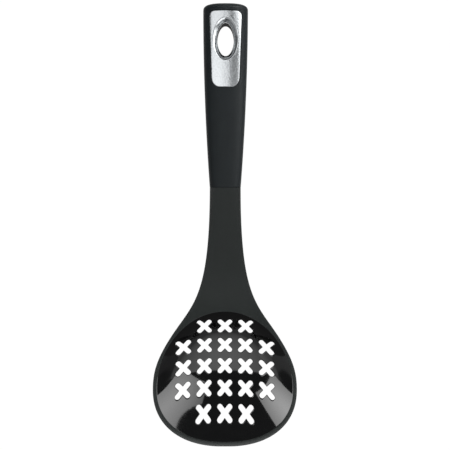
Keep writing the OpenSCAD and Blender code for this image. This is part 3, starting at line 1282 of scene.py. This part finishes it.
    def add_rim(self, skin: Skin) -> list[Array]:
        """Adds the rounded rim and the first strips of the front and the back.

        Args:
            skin: The head's skin.

        Returns:
            Closed loops in plan in which the front and the back are still open.
        """
        start = -self.joint_round
        below = self.dense[self.dense[:, 1] < start]
        side = spaced(np.vstack([[self.half_width(np.array(start)), start], below]), self.mesh_step)
        away = outward(side, closed=False)
        away[0] = [-1.0, 0.0]
        away[-1] = [0.0, 1.0]
        grown = ease((-side[:, 1] - self.rim_round_start) / self.rim_round_run)
        soft = self.rim_round * grown + self.least_round

        def row(gap: Array) -> Array:
            """The outline set in by a distance that may change along it.

            Args:
                gap: The distance at each point of the outline.

            Returns:
                Points in plan, from one side of the joint round the tip to the other side.
            """
            inner = side + gap[:, None] * away
            inner[-1, 0] = 0.0
            inner[0, 1] = start
            return mirrored(inner)

        borders = []
        loops = []
        for lift, share in ((self.on_front, self.rim_front), (self.on_back, self.rim_back)):
            rows = [row(mix(share * soft, self.strip_width, t)) for t in self.strip_shares]
            skin.strip([lift(r) for r in rows], closed=False)
            borders.append(lift(rows[0]))
            loops.append(np.vstack([rows[-1], cross_line(rows[-1], self.mesh_step)]))
        edge = self.on_front(row(-self.rim_out * soft))
        skin.strip(fillet(borders[0], edge, borders[1], self.round_steps), closed=False)
        return loops

    def add_mouth(self, skin: Skin, gloss: Material) -> tuple[Array, Array]:
        """Adds the soft edge where the rim turns down into the bowl.

        Args:
            skin: The head's skin.
            gloss: The floor's finish.

        Returns:
            Closed loops in plan where the rim and the floor take over.
        """
        crest = self.arc(self.hollow_half, self.widest_drop, self.crest_power)
        tip = self.arc(self.hollow_half, self.inner_tip_y - self.widest_y, self.tip_power)
        mouth = mirrored(spaced(np.vstack([crest[::-1], tip[1:]]), self.mesh_step))[:-1]
        off = outward(mouth, closed=True)
        outer = mouth - self.mouth_round * off
        inner = mouth + self.mouth_floor_round * off
        floor = self.on_floor(inner, gloss)
        lip = fillet(self.on_front(outer), self.on_front(mouth), floor, self.round_steps)
        skin.strip(lip[: self.mouth_matte_steps + 1], closed=True)
        skin.strip(lip[self.mouth_matte_steps :], closed=True, look=Look.POLISHED)
        return outer, inner

    def add_slots(self, skin: Skin, gloss: Material) -> list[Array]:
        """Adds the walls and soft lips of the drain slots.

        Args:
            skin: The head's skin.
            gloss: The floor's finish.

        Returns:
            Closed loops in plan round the slots, where the floor and the back take over.
        """
        collars = self.slots.collars(self.crest_y - self.slot_middle_drop, gloss)
        plan = collars.reshape(-1, 2)
        floors = self.on_floor(plan, gloss).reshape(*collars.shape[:-1], 3)
        backs = self.on_back(plan).reshape(*collars.shape[:-1], 3)
        lip = [0.0, 0.0, self.slots.lip]
        for floor, back in zip(floors, backs):
            above = fillet(floor[1], floor[0], floor[0] - lip, self.slots.lip_steps)
            below = fillet(back[0] + lip, back[0], back[1], self.slots.lip_steps)
            skin.strip([floor[2], *above, below[0]], closed=True, look=Look.POLISHED)
            skin.strip([*below, back[2]], closed=True)
        return [collar[2] for collar in collars]

    def add_tang(self, skin: Skin) -> None:
        """Adds the flat tang with its two cross holes.

        Args:
            skin: The head's skin.
        """
        half = self.tang_width / 2.0
        shoulder = self.tang_length - self.tang_chamfer
        corner = half - self.tang_chamfer
        right = [[half, -self.tang_root], [half, shoulder], [corner, self.tang_length]]
        left = [[-x, y] for x, y in reversed(right)]
        border = spaced(np.array([left[-1], *right, *left]), self.tang_step)[:-1]
        hole = self.tang_hole / 2.0 * circle(self.hole_facets)
        loops = [border, *[hole + [0.0, y] for y in self.tang_hole_places]]
        plan, faces = triangulate(loops, seed_points(loops, self.tang_step))
        heights = (self.tang_thickness / 2.0, -self.tang_thickness / 2.0)
        for z in heights:
            skin.patch(level(plan, z), faces)
        for loop in loops:
            skin.strip([level(loop, z) for z in heights], closed=True)

    def paint_rim_sheen(self, head: Object, tool: ToolFrame) -> None:
        """Marks how strong each point's painted highlight is, most of all at the rim's outer edge.

        Args:
            head: The finished head.
            tool: The tool's frame.
        """
        spots = tool.back(mesh_points(head.data))
        near = 1.0 - gaps(spots[:, :2], mirrored(self.dense)) / self.rim_width
        stations = (-self.crest_y, -self.tip_y - self.tip_run, -self.tip_y)
        along = np.interp(-spots[:, 1], stations, self.rim_painted_sheen)
        # The mark is a painted highlight that stands in for light falling on the rounded rim
        mark = head.data.attributes.new(PAINTED_SHEEN, "FLOAT", "POINT")
        mark.data.foreach_set("value", np.maximum(near, 0.0) * along)

    def square_to_floor(self, spots: Array, gloss: Material) -> tuple[Array, Array]:
        """Finds which points are on the bowl's floor and the directions square to it.

        Args:
            spots: Points in the tool's frame.
            gloss: The floor's finish.

        Returns:
            Whether each point is on the floor, and a unit direction for each point.
        """
        plan = spots[:, :2]
        on_it = np.abs(self.on_floor(plan, gloss)[:, 2] - spots[:, 2]) < self.floor_slack
        falls = []
        for way in self.floor_probe * np.eye(2):
            rise = self.on_floor(plan + way, gloss) - self.on_floor(plan - way, gloss)
            falls.append(-rise[:, 2] / (2.0 * self.floor_probe))
        square = level(np.column_stack(falls), 1.0)
        return on_it, square / np.linalg.norm(square, axis=1, keepdims=True)

    def calm_gloss(self, head: Object, tool: ToolFrame) -> None:
        """Lets the polished floor shade as a shallower dish, so that its steep walls mirror the room.

        Args:
            head: The finished head.
            tool: The tool's frame.
        """
        mesh = head.data
        counts = np.zeros((2, len(mesh.vertices)), int)
        for face in mesh.polygons:
            counts[face.material_index, list(face.vertices)] += 1
        inner = (counts[Look.POLISHED] > 0) & (counts[Look.PLAIN] == 0)
        c, s = heading(math.radians(self.gloss_tilt))
        tilt = np.array([[1.0, 0.0, 0.0], [0.0, c, -s], [0.0, s, c]])
        toward = tool.turn @ tilt.T
        normals = area_normals(mesh)
        gloss = mesh.materials[Look.POLISHED]
        floor, square = self.square_to_floor(tool.back(mesh_points(mesh)), gloss)
        normals[floor & inner] = square[floor & inner] @ tool.turn.T
        normals = normals @ toward
        inner &= normals[:, 2] > self.gloss_facing
        calm = np.column_stack([self.gloss_lean * normals[inner, :2], normals[inner, 2:]]) @ tilt
        slope = calm[:, :2] / calm[:, 2:]
        steep = np.linalg.norm(slope, axis=1, keepdims=True) / self.gloss_limit
        slope = slope / (1.0 + steep**self.gloss_limit_power) ** (1.0 / self.gloss_limit_power)
        calm = level(slope, 1.0)
        normals = normals @ toward.T
        normals[inner] = calm / np.linalg.norm(calm, axis=1, keepdims=True) @ tool.turn.T
        mesh.normals_split_custom_set_from_vertices(normals)

    def build(self, tool: ToolFrame, palette: Palette) -> Object:
        """Builds the head and dresses it.

        Args:
            tool: The tool's frame.
            palette: The finishes.

        Returns:
            The head.
        """
        skin = Skin()
        gloss = palette(Surface.POLISHED_NYLON)
        front, back = self.add_rim(skin)
        outer, inner = self.add_mouth(skin, gloss)
        margins = self.add_slots(skin, gloss)
        sheets = (
            (self.on_front, self.crown, [front, outer]),
            (self.on_back, self.back_depth, [back, *margins]),
        )
        for lift, depth, loops in sheets:
            plan, faces = filled(loops, self.mesh_step, self.half_width, depth)
            skin.patch(lift(plan), faces)
        loops = [inner, *margins]
        plan, faces = triangulate(loops, seed_points(loops, self.mesh_step))
        skin.patch(self.on_floor(plan, gloss), faces, Look.POLISHED)
        ends = self.handle.joint_rows(skin.ring_at(-self.joint_round), self.round_steps)
        skin.strip(ends, closed=True)
        skin.patch(ends[-1], [range(len(ends[-1]))])
        self.add_tang(skin)
        head = skin.piece(HEAD, tool, [palette(Surface.MATTE_NYLON), gloss])
        self.paint_rim_sheen(head, tool)
        self.calm_gloss(head, tool)
        return head


@dataclass
class HangEye:
    """The oval hanging eye near the handle's end, which three pieces share."""

    place: float = 110.2
    width: float = 12.4
    length: float = 24.8
    flare: float = 2.8
    depth: float = 3.2
    liner_wall: float = 1.4
    flange: float = 3.2
    flange_recess: float = 0.3

    def oval(self, grow: float, toward: Array) -> Array:
        """Points of the eye's oval in given directions.

        Args:
            grow: Distance outside the eye's edge.
            toward: Points in plan that give the directions.

        Returns:
            Points in plan.
        """
        half_width = self.width / 2.0 + grow
        half_length = self.length / 2.0 + grow
        a = np.arctan2((toward[:, 1] - self.place) / half_length, toward[:, 0] / half_width)
        return heading(a) * [half_width, half_length] + [0.0, self.place]

    def around(self, count: int) -> Array:
        """Points evenly round the eye's middle, which give directions."""
        return circle(count) + [0.0, self.place]


@dataclass
class HangPlate:
    """Satin metal plate let into the front, dished round the hanging eye."""

    handle: HandleForm
    eye: HangEye
    margin: float = 6.4
    length: float = 56.6
    top_width: float = 24.2
    low_width: float = 20.2
    top_radius: float = 3.7
    low_radius: float = 7.0
    crown: float = 0.4
    underside: float = 1.85
    edge_round: float = 0.35
    # The dish's wall, from a drop at the hole to a soft bend where it meets the face
    hole_drop: float = 0.5
    low_bend_share: float = 0.15
    top_bend_share: float = 0.3
    dish_round: float = 1.0
    peg_diameter: float = 3.0
    peg_length: float = 2.4
    peg_chamfer: float = 0.3
    peg_inset: float = 4.0
    low_peg_inset: float = 9.0
    peg_facets: int = 32
    mesh_step: float = 0.7
    face_rings: int = 14
    wall_rings: int = 4
    round_steps: int = 5
    bend_steps: int = 10
    corner_steps: int = 40
    polished_bend_steps: int = 8

    def __post_init__(self) -> None:
        """Works out the ends of the plate and the dish's floor."""
        self.top_y = self.handle.length - self.margin
        self.low_y = self.top_y - self.length
        self.dish_floor = self.handle.end_thickness / 2.0 - self.eye.depth

    def edge(self, grow: float) -> Array:
        """The plate's edge grown by a clearance.

        Args:
            grow: The clearance.

        Returns:
            A closed loop in plan, against the clock.
        """
        half = self.top_width / 2.0 + grow
        top = self.top_radius + grow
        low = self.low_radius + grow
        high_y = self.top_y + grow - top
        deep_y = self.low_y - grow + low
        corners = (
            (half - top, high_y, top),
            (top - half, high_y, top),
            (low - half, deep_y, low),
            (half - low, deep_y, low),
        )
        quarter = np.linspace(0.0, np.pi / 2.0, self.corner_steps)
        path = []
        for k, (x, y, radius) in enumerate(corners):
            path.append(radius * heading(quarter + k * np.pi / 2.0) + [x, y])
        loop = spaced(np.vstack([*path, path[0][:1]]), self.mesh_step)[:-1]
        x, y = loop.T
        taper = mix(self.low_width, self.top_width, (y - self.low_y) / self.length) / self.top_width
        fall = np.where(y > self.eye.place, self.crown * (2.0 * x / self.top_width) ** 2, 0.0)
        return np.column_stack([x * taper, y - fall])

    def build(self, tool: ToolFrame, palette: Palette) -> Object:
        """Builds the plate and dresses it.

        Args:
            tool: The tool's frame.
            palette: The finishes.

        Returns:
            The plate.
        """
        skin = Skin()
        edge = self.edge(0.0)
        eye = self.eye
        on_face = self.handle.on_face
        hole_ring = eye.oval(0.0, edge)
        lip_ring = eye.oval(eye.flare + self.dish_round, edge)
        wall_shares = np.linspace(0.0, 1.0, self.wall_rings + 1)

        hole = level(hole_ring, self.dish_floor)
        lip = on_face(eye.oval(eye.flare, edge))
        drop = hole - [0.0, 0.0, self.hole_drop]
        low_bend = fillet(drop, hole, mix(hole, lip, self.low_bend_share), self.round_steps)
        top_bend = fillet(mix(hole, lip, self.top_bend_share), lip, on_face(lip_ring), self.bend_steps)
        base = level(hole_ring, self.dish_floor - eye.liner_wall)
        cone = [mix(low_bend[-1], top_bend[0], t) for t in wall_shares]
        split = self.polished_bend_steps
        for rows in ([base, *low_bend], cone, top_bend[: split + 1]):
            skin.strip(rows, closed=True, look=Look.POLISHED)
        skin.strip(top_bend[split:], closed=True)

        outer = edge - self.edge_round * outward(edge, closed=True)
        face = [on_face(mix(lip_ring, outer, t)) for t in np.linspace(0.0, 1.0, self.face_rings + 1)]
        corner = on_face(edge)
        bend = fillet(on_face(outer), corner, corner - [0.0, 0.0, self.edge_round], self.round_steps)
        dish_back = eye.oval(eye.flare + eye.liner_wall, edge)
        under = [on_face(mix(edge, dish_back, t), self.underside) for t in wall_shares]
        behind = [
            under[-1],
            level(dish_back, self.dish_floor - eye.liner_wall / 2.0),
            level(eye.oval(eye.liner_wall, edge), self.dish_floor - eye.liner_wall),
            base,
        ]
        for rows in (face, bend, [bend[-1], under[0]], under, behind):
            skin.strip(rows, closed=True)
        self.add_pegs(skin)
        return skin.piece(PLATE, tool, [palette(Surface.SATIN_METAL), palette(Surface.POLISHED_METAL)])

    def add_pegs(self, skin: Skin) -> None:
        """Adds the three pegs behind the plate.

        Args:
            skin: The plate's skin.
        """
        side = self.top_width / 2.0 - self.peg_inset
        high_y = self.top_y - self.peg_inset
        radius = self.peg_diameter / 2.0
        for place in ((side, high_y), (-side, high_y), (0.0, self.low_y + self.low_peg_inset)):
            seat = self.handle.on_face(np.array([place]), self.underside)[0, 2]
            end = seat - self.peg_length
            sections = (
                (radius, seat + self.underside / 2.0),
                (radius, end + self.peg_chamfer),
                (radius - self.peg_chamfer, end),
            )
            rows = [level(size * circle(self.peg_facets) + place, z) for size, z in sections]
            skin.strip(rows, closed=True)
            for row in (rows[0], rows[-1]):
                skin.patch(row, [range(self.peg_facets)])


@dataclass
class HangLiner:
    """Black oval tube that lines the hanging eye behind the plate, with a flush flange at the back."""

    handle: HandleForm
    plate: HangPlate
    fit: float = 0.15
    edge_round: float = 0.6
    facets: int = 120
    round_steps: int = 5

    def build(self, tool: ToolFrame, palette: Palette) -> Object:
        """Builds the liner and dresses it.

        Args:
            tool: The tool's frame.
            palette: The finishes.

        Returns:
            The liner.
        """
        eye = self.plate.eye
        around = eye.around(self.facets)

        def back(grow: float, inset: float) -> Array:
            """The eye's oval, grown, on the handle's back and set in."""
            return self.handle.on_face(eye.oval(grow, around), inset, side=-1.0)

        top = self.plate.dish_floor - eye.liner_wall - self.fit
        hole = level(eye.oval(0.0, around), top)
        half_round = self.edge_round / 2.0
        rim = back(eye.flange, eye.flange_recess)
        rim_start = rim + [0.0, 0.0, half_round]
        mouth = back(0.0, eye.flange_recess)
        mouth_end = mouth + [0.0, 0.0, self.edge_round]
        rows = [
            hole,
            level(eye.oval(eye.liner_wall, around), top),
            back(eye.liner_wall, self.plate.underside),
            back(eye.flange, self.plate.underside),
            *fillet(rim_start, rim, back(eye.flange - half_round, eye.flange_recess), self.round_steps),
            *fillet(back(self.edge_round, eye.flange_recess), mouth, mouth_end, self.round_steps),
            hole,
        ]
        skin = Skin()
        skin.strip(rows, closed=True)
        return skin.piece(LINER, tool, [palette(Surface.LINER_PLASTIC)])


@dataclass
class SoftGrip:
    """Soft rubber sleeve over the handle's cores, with windows for the plate and the liner's flange."""

    handle: HandleForm
    plate: HangPlate
    wall: float = 2.0
    fit: float = 0.15
    joint_round: float = 0.3
    window_round: float = 0.35
    straight: float = 0.8
    mesh_step: float = 1.2
    round_steps: int = 4
    oval_steps: int = 110
    edge_gaps: tuple[float, ...] = (0.0, 0.03, 0.15, 0.45, 1.0)

    def inner(self, plan: Array, side: float) -> Array:
        """Points of the sleeve's inside behind points of its outside.

        Args:
            plan: Points in plan on the outside.
            side: 1 for the front, -1 for the back.

        Returns:
            Points on the inside.
        """
        form = self.handle
        x, y = plan.T
        past = np.clip(y - form.length + form.end_round, 0.0, form.end_round)
        y_in = y - past * self.wall / form.end_round
        half = form.half_width(y)
        across = np.clip(np.abs(x) / np.maximum(half, TINY), 0.0, 1.0)
        turn = np.clip((across - self.straight) / (1.0 - self.straight), 0.0, 1.0)
        reach = np.minimum(across, self.straight) * half
        x_in = np.sign(x) * mix(reach, form.half_width(y_in, self.wall), turn)
        return form.on_face(np.column_stack([x_in, y_in]), self.wall, side)

    def edge_rows(self) -> list[Array]:
        """The sleeve's outline in plan and copies of it set in, closer together near the edge.

        Returns:
            The rows, from one side of the joint round the end to the other side.
        """
        side_curve = self.handle.side_curve(self.joint_round, self.mesh_step)
        away = -outward(side_curve, closed=False)
        away[0] = [-1.0, 0.0]
        away[-1] = [0.0, -1.0]
        rows = []
        for gap in self.edge_gaps:
            row = side_curve + gap * away
            row[0, 1] = self.joint_round
            row[-1, 0] = 0.0
            rows.append(mirrored(row))
        return rows

    def build(self, tool: ToolFrame, palette: Palette) -> Object:
        """Builds the grip and dresses it.

        Args:
            tool: The tool's frame.
            palette: The finishes.

        Returns:
            The grip.
        """
        form = self.handle
        eye = self.plate.eye
        outside = Skin()
        inside = Skin()
        rows = self.edge_rows()
        border = np.vstack([rows[-1], cross_line(rows[-1], self.mesh_step)])
        window = self.plate.edge(self.fit)
        oval = eye.oval(eye.flange + self.fit, eye.around(self.oval_steps))
        for side, opening in ((1.0, window), (-1.0, oval)):
            grown = opening + self.window_round * outward(opening, closed=True)
            plan, faces = filled([border, grown], self.mesh_step, form.half_width, form.half_thickness)
            corner = form.on_face(opening, 0.0, side)
            sunk = corner - [0.0, 0.0, side * self.window_round]
            bend = fillet(form.on_face(grown, 0.0, side), corner, sunk, self.round_steps)
            outside.strip([form.on_face(row, 0.0, side) for row in rows], closed=False)
            outside.patch(form.on_face(plan, 0.0, side), faces)
            outside.strip([*bend, self.inner(opening, side)], closed=True)
            inside.strip([self.inner(row, side) for row in rows], closed=False)
            inside.patch(self.inner(plan, side), faces)
            inside.strip([self.inner(opening, side), self.inner(grown, side)], closed=True)
        ends = form.joint_rows(outside.ring_at(self.joint_round), self.round_steps)
        inner_ring = inside.ring_at(self.joint_round)
        outside.strip([*ends, inner_ring * [1.0, 0.0, 1.0], inner_ring], closed=True)
        outside.join(inside)
        return outside.piece(GRIP, tool, [palette(Surface.SOFT_RUBBER)])


@dataclass(frozen=True)
class Softbox:
    """One studio light: a flat glowing panel, placed and aimed in the tool's frame.

    A panel with names in only_on is screened off from all other pieces.
    """

    name: str
    centre: tuple[float, float, float]
    aim: tuple[float, float, float]
    width: float
    height: float
    glow: float
    spread: float = 180.0
    roll: float = 0.0
    only_on: tuple[str, ...] = ()

    def build(self, tool: ToolFrame) -> Object:
        """Places the light and screens it off from the pieces that it isn't meant for.

        Args:
            tool: The tool's frame.

        Returns:
            The light.
        """
        light = bpy.data.lights.new(self.name, "AREA")
        light.shape = "RECTANGLE"
        light.size = self.width * MM
        light.size_y = self.height * MM
        light.energy = self.glow * math.pi * light.size * light.size_y
        light.spread = math.radians(self.spread)
        made = linked(self.name, light)
        made.visible_camera = False
        centre = tool.point(self.centre)
        ahead = (tool.point(self.aim) - centre).normalized()
        across = ahead.cross(Vector(tool.turn[:, 2]))
        if across.length < TINY**0.5:
            across = Vector(tool.turn[:, 0])
        across.normalize()
        level_turn = Matrix((across, across.cross(ahead), -ahead)).transposed()
        turn = level_turn @ Matrix.Rotation(math.radians(self.roll), 3, "Z")
        made.matrix_world = Matrix.Translation(centre) @ turn.to_4x4()
        if self.only_on:
            lit = bpy.data.collections.new(self.name)
            for name in self.only_on:
                lit.objects.link(bpy.data.objects[name])
            made.light_linking.receiver_collection = lit
        return made


@dataclass
class Studio:
    """Pale floor, soft lights and the camera that looks straight at the front."""

    distance: float = 663.0
    aside: float = -0.13
    middle: float = -28.0
    camera_roll: float = 0.12
    view_width: float = 337.5
    sensor: float = 36.0
    floor_size: float = 60000.0
    floor_grey: str = "#404040"
    floor_glow: float = 1.0
    floor_roughness: float = 0.9
    # The room is pale near the horizon and dim overhead, by the height of the direction looked in
    horizon: tuple[float, str] = (0.06, "#e4e6e8")
    overhead: tuple[float, str] = (0.2, "#747678")
    room_glow: float = 0.7
    boxes: tuple[Softbox, ...] = (
        # Large panels over the whole tool
        Softbox(
            "overhead", centre=(0.0, -625.0, 968.0), aim=(0.0, -1110.0, 93.0),
            width=3600.0, height=1850.0, glow=1.0, spread=142.0, only_on=(HEAD, GRIP),
        ),
        Softbox(
            "ceiling", centre=(0.0, -365.0, 520.0), aim=(0.0, -365.0, 0.0),
            width=2900.0, height=1100.0, glow=0.375,
        ),
        # Panels that the bowl mirrors as two wedges
        Softbox(
            "right_box", centre=(270.0, 141.0, 240.0), aim=(-68.0, -105.0, 136.0),
            width=450.0, height=186.0, glow=1.7, spread=100.0, roll=25.0, only_on=(HEAD, GRIP),
        ),
        Softbox(
            "left_box", centre=(-321.0, 103.0, 172.0), aim=(19.0, -145.0, 83.0),
            width=329.0, height=128.0, glow=1.4, spread=78.0, roll=-10.0, only_on=(HEAD,),
        ),
        # Dim panels that the bowl's sides mirror
        Softbox(
            "left_fill", centre=(-283.0, -214.0, 110.0), aim=(42.0, -135.0, 8.0),
            width=300.0, height=92.0, glow=0.4, roll=-29.0, only_on=(HEAD,),
        ),
        Softbox(
            "right_fill", centre=(283.0, -214.0, 110.0), aim=(-42.0, -135.0, 8.0),
            width=300.0, height=92.0, glow=0.13, roll=29.0, only_on=(HEAD,),
        ),
        # Panels that pick out the grip's side and end
        Softbox(
            "grip_box", centre=(300.0, 130.0, 260.0), aim=(0.0, 60.0, 5.0),
            width=120.0, height=300.0, glow=0.6, spread=60.0, only_on=(GRIP,),
        ),
        Softbox(
            "end_box", centre=(120.0, 330.0, 200.0), aim=(10.0, 130.0, 5.0),
            width=120.0, height=120.0, glow=1.5, spread=40.0, only_on=(GRIP,),
        ),
        # Panels that the plate mirrors
        Softbox(
            "plate_box", centre=(-230.0, 300.0, 700.0), aim=(-230.0, 300.0, 0.0),
            width=520.0, height=480.0, glow=1.4, only_on=(PLATE,),
        ),
        Softbox(
            "plate_side_box", centre=(256.0, 137.0, 282.0), aim=(-82.0, -109.0, 178.0),
            width=560.0, height=300.0, glow=1.7, spread=100.0, roll=30.0, only_on=(PLATE, LINER),
        ),
        Softbox(
            "plate_top_box", centre=(195.0, 255.0, 260.0), aim=(195.0, 255.0, 0.0),
            width=270.0, height=140.0, glow=1.75, only_on=(PLATE,),
        ),
        Softbox(
            "plate_front_box", centre=(250.0, -200.0, 290.0), aim=(0.0, 110.0, 5.0),
            width=460.0, height=300.0, glow=1.6, only_on=(PLATE,),
        ),
    )

    def camera(self, tool: ToolFrame) -> None:
        """Puts the camera on the tool's normal and makes it the scene's camera.

        Args:
            tool: The tool's frame.
        """
        lens = bpy.data.cameras.new("front_camera")
        lens.sensor_width = self.sensor
        lens.lens = self.sensor * self.distance / self.view_width
        made = linked("front_camera", lens)
        turn = Matrix(tool.turn.tolist()) @ Matrix.Rotation(math.radians(self.camera_roll), 3, "Z")
        place = Matrix.Translation(tool.point((self.aside, self.middle, self.distance)))
        made.matrix_world = place @ turn.to_4x4()
        bpy.context.scene.camera = made

    def floor(self) -> None:
        """Lays the pale floor that the ladle rests on, which glows as a lit paper sweep does."""
        half = self.floor_size / 2.0 * MM
        corners = ((-half, -half, 0.0), (half, -half, 0.0), (half, half, 0.0), (-half, half, 0.0))
        mesh = bpy.data.meshes.new("studio_floor")
        mesh.from_pydata(corners, [], [range(len(corners))])
        material = bpy.data.materials.new("studio_paper_white")
        material.use_nodes = True
        inputs = material.node_tree.nodes["Principled BSDF"].inputs
        inputs["Base Color"].default_value = linear(self.floor_grey)
        inputs["Roughness"].default_value = self.floor_roughness
        inputs["Emission Color"].default_value = linear("#ffffff")
        inputs["Emission Strength"].default_value = self.floor_glow
        mesh.materials.append(material)
        made = linked("studio_floor", mesh)
        made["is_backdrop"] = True

    def room(self) -> None:
        """Gives the room a soft grey and the picture plain colours."""
        world = bpy.data.worlds.new("studio_room")
        world.use_nodes = True
        tree = world.node_tree
        where = add_node(tree, "ShaderNodeTexCoord").outputs["Generated"]
        height = add_node(tree, "ShaderNodeSeparateXYZ", {0: where}).outputs["Z"]
        shade = add_node(tree, "ShaderNodeValToRGB", {"Fac": height})
        for stop, (place, colour) in zip(shade.color_ramp.elements, (self.horizon, self.overhead)):
            stop.position = place
            stop.color = linear(colour)
        back = tree.nodes["Background"]
        tree.links.new(shade.outputs["Color"], back.inputs["Color"])
        back.inputs["Strength"].default_value = self.room_glow
        bpy.context.scene.world = world
        bpy.context.scene.view_settings.view_transform = "Standard"

    def build(self, tool: ToolFrame) -> None:
        """Sets up the camera, the floor, the room and the lights.

        Args:
            tool: The tool's frame.
        """
        self.camera(tool)
        self.floor()
        self.room()
        for box in self.boxes:
            box.build(tool)
            LOG.info("light %s", box.name)


def main() -> None:
    """Builds the ladle's pieces and the studio round them."""
    logging.basicConfig(level=logging.INFO, format="%(name)s: %(message)s")
    cad_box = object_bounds()
    handle = HandleForm()
    eye = HangEye()
    tool = ToolFrame(frame["record"], eye.place, cad_box)
    palette = Palette()
    plate = HangPlate(handle, eye)
    built = (
        (SpoonHead(handle).build(tool, palette), "spoon_head", "nylon"),
        (SoftGrip(handle, plate).build(tool, palette), "soft_grip", "soft_grip"),
        (plate.build(tool, palette), "hang_plate", "satin_metal"),
        (HangLiner(handle, plate).build(tool, palette), "hang_liner", "liner_plastic"),
    )
    for piece, node, slot in built:
        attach(piece, BODY)
        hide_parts(node)
        LOG.info("%s stands for %s", piece.name, node)
    for node in ("core_front", "core_back"):
        core = frame["nodes"][node]
        core.data.materials.clear()
        core.data.materials.append(palette(Surface.CORE_PLASTIC))
        LOG.info("%s dressed", node)
    Studio().build(tool)


if __name__ == "__main__":
    main()
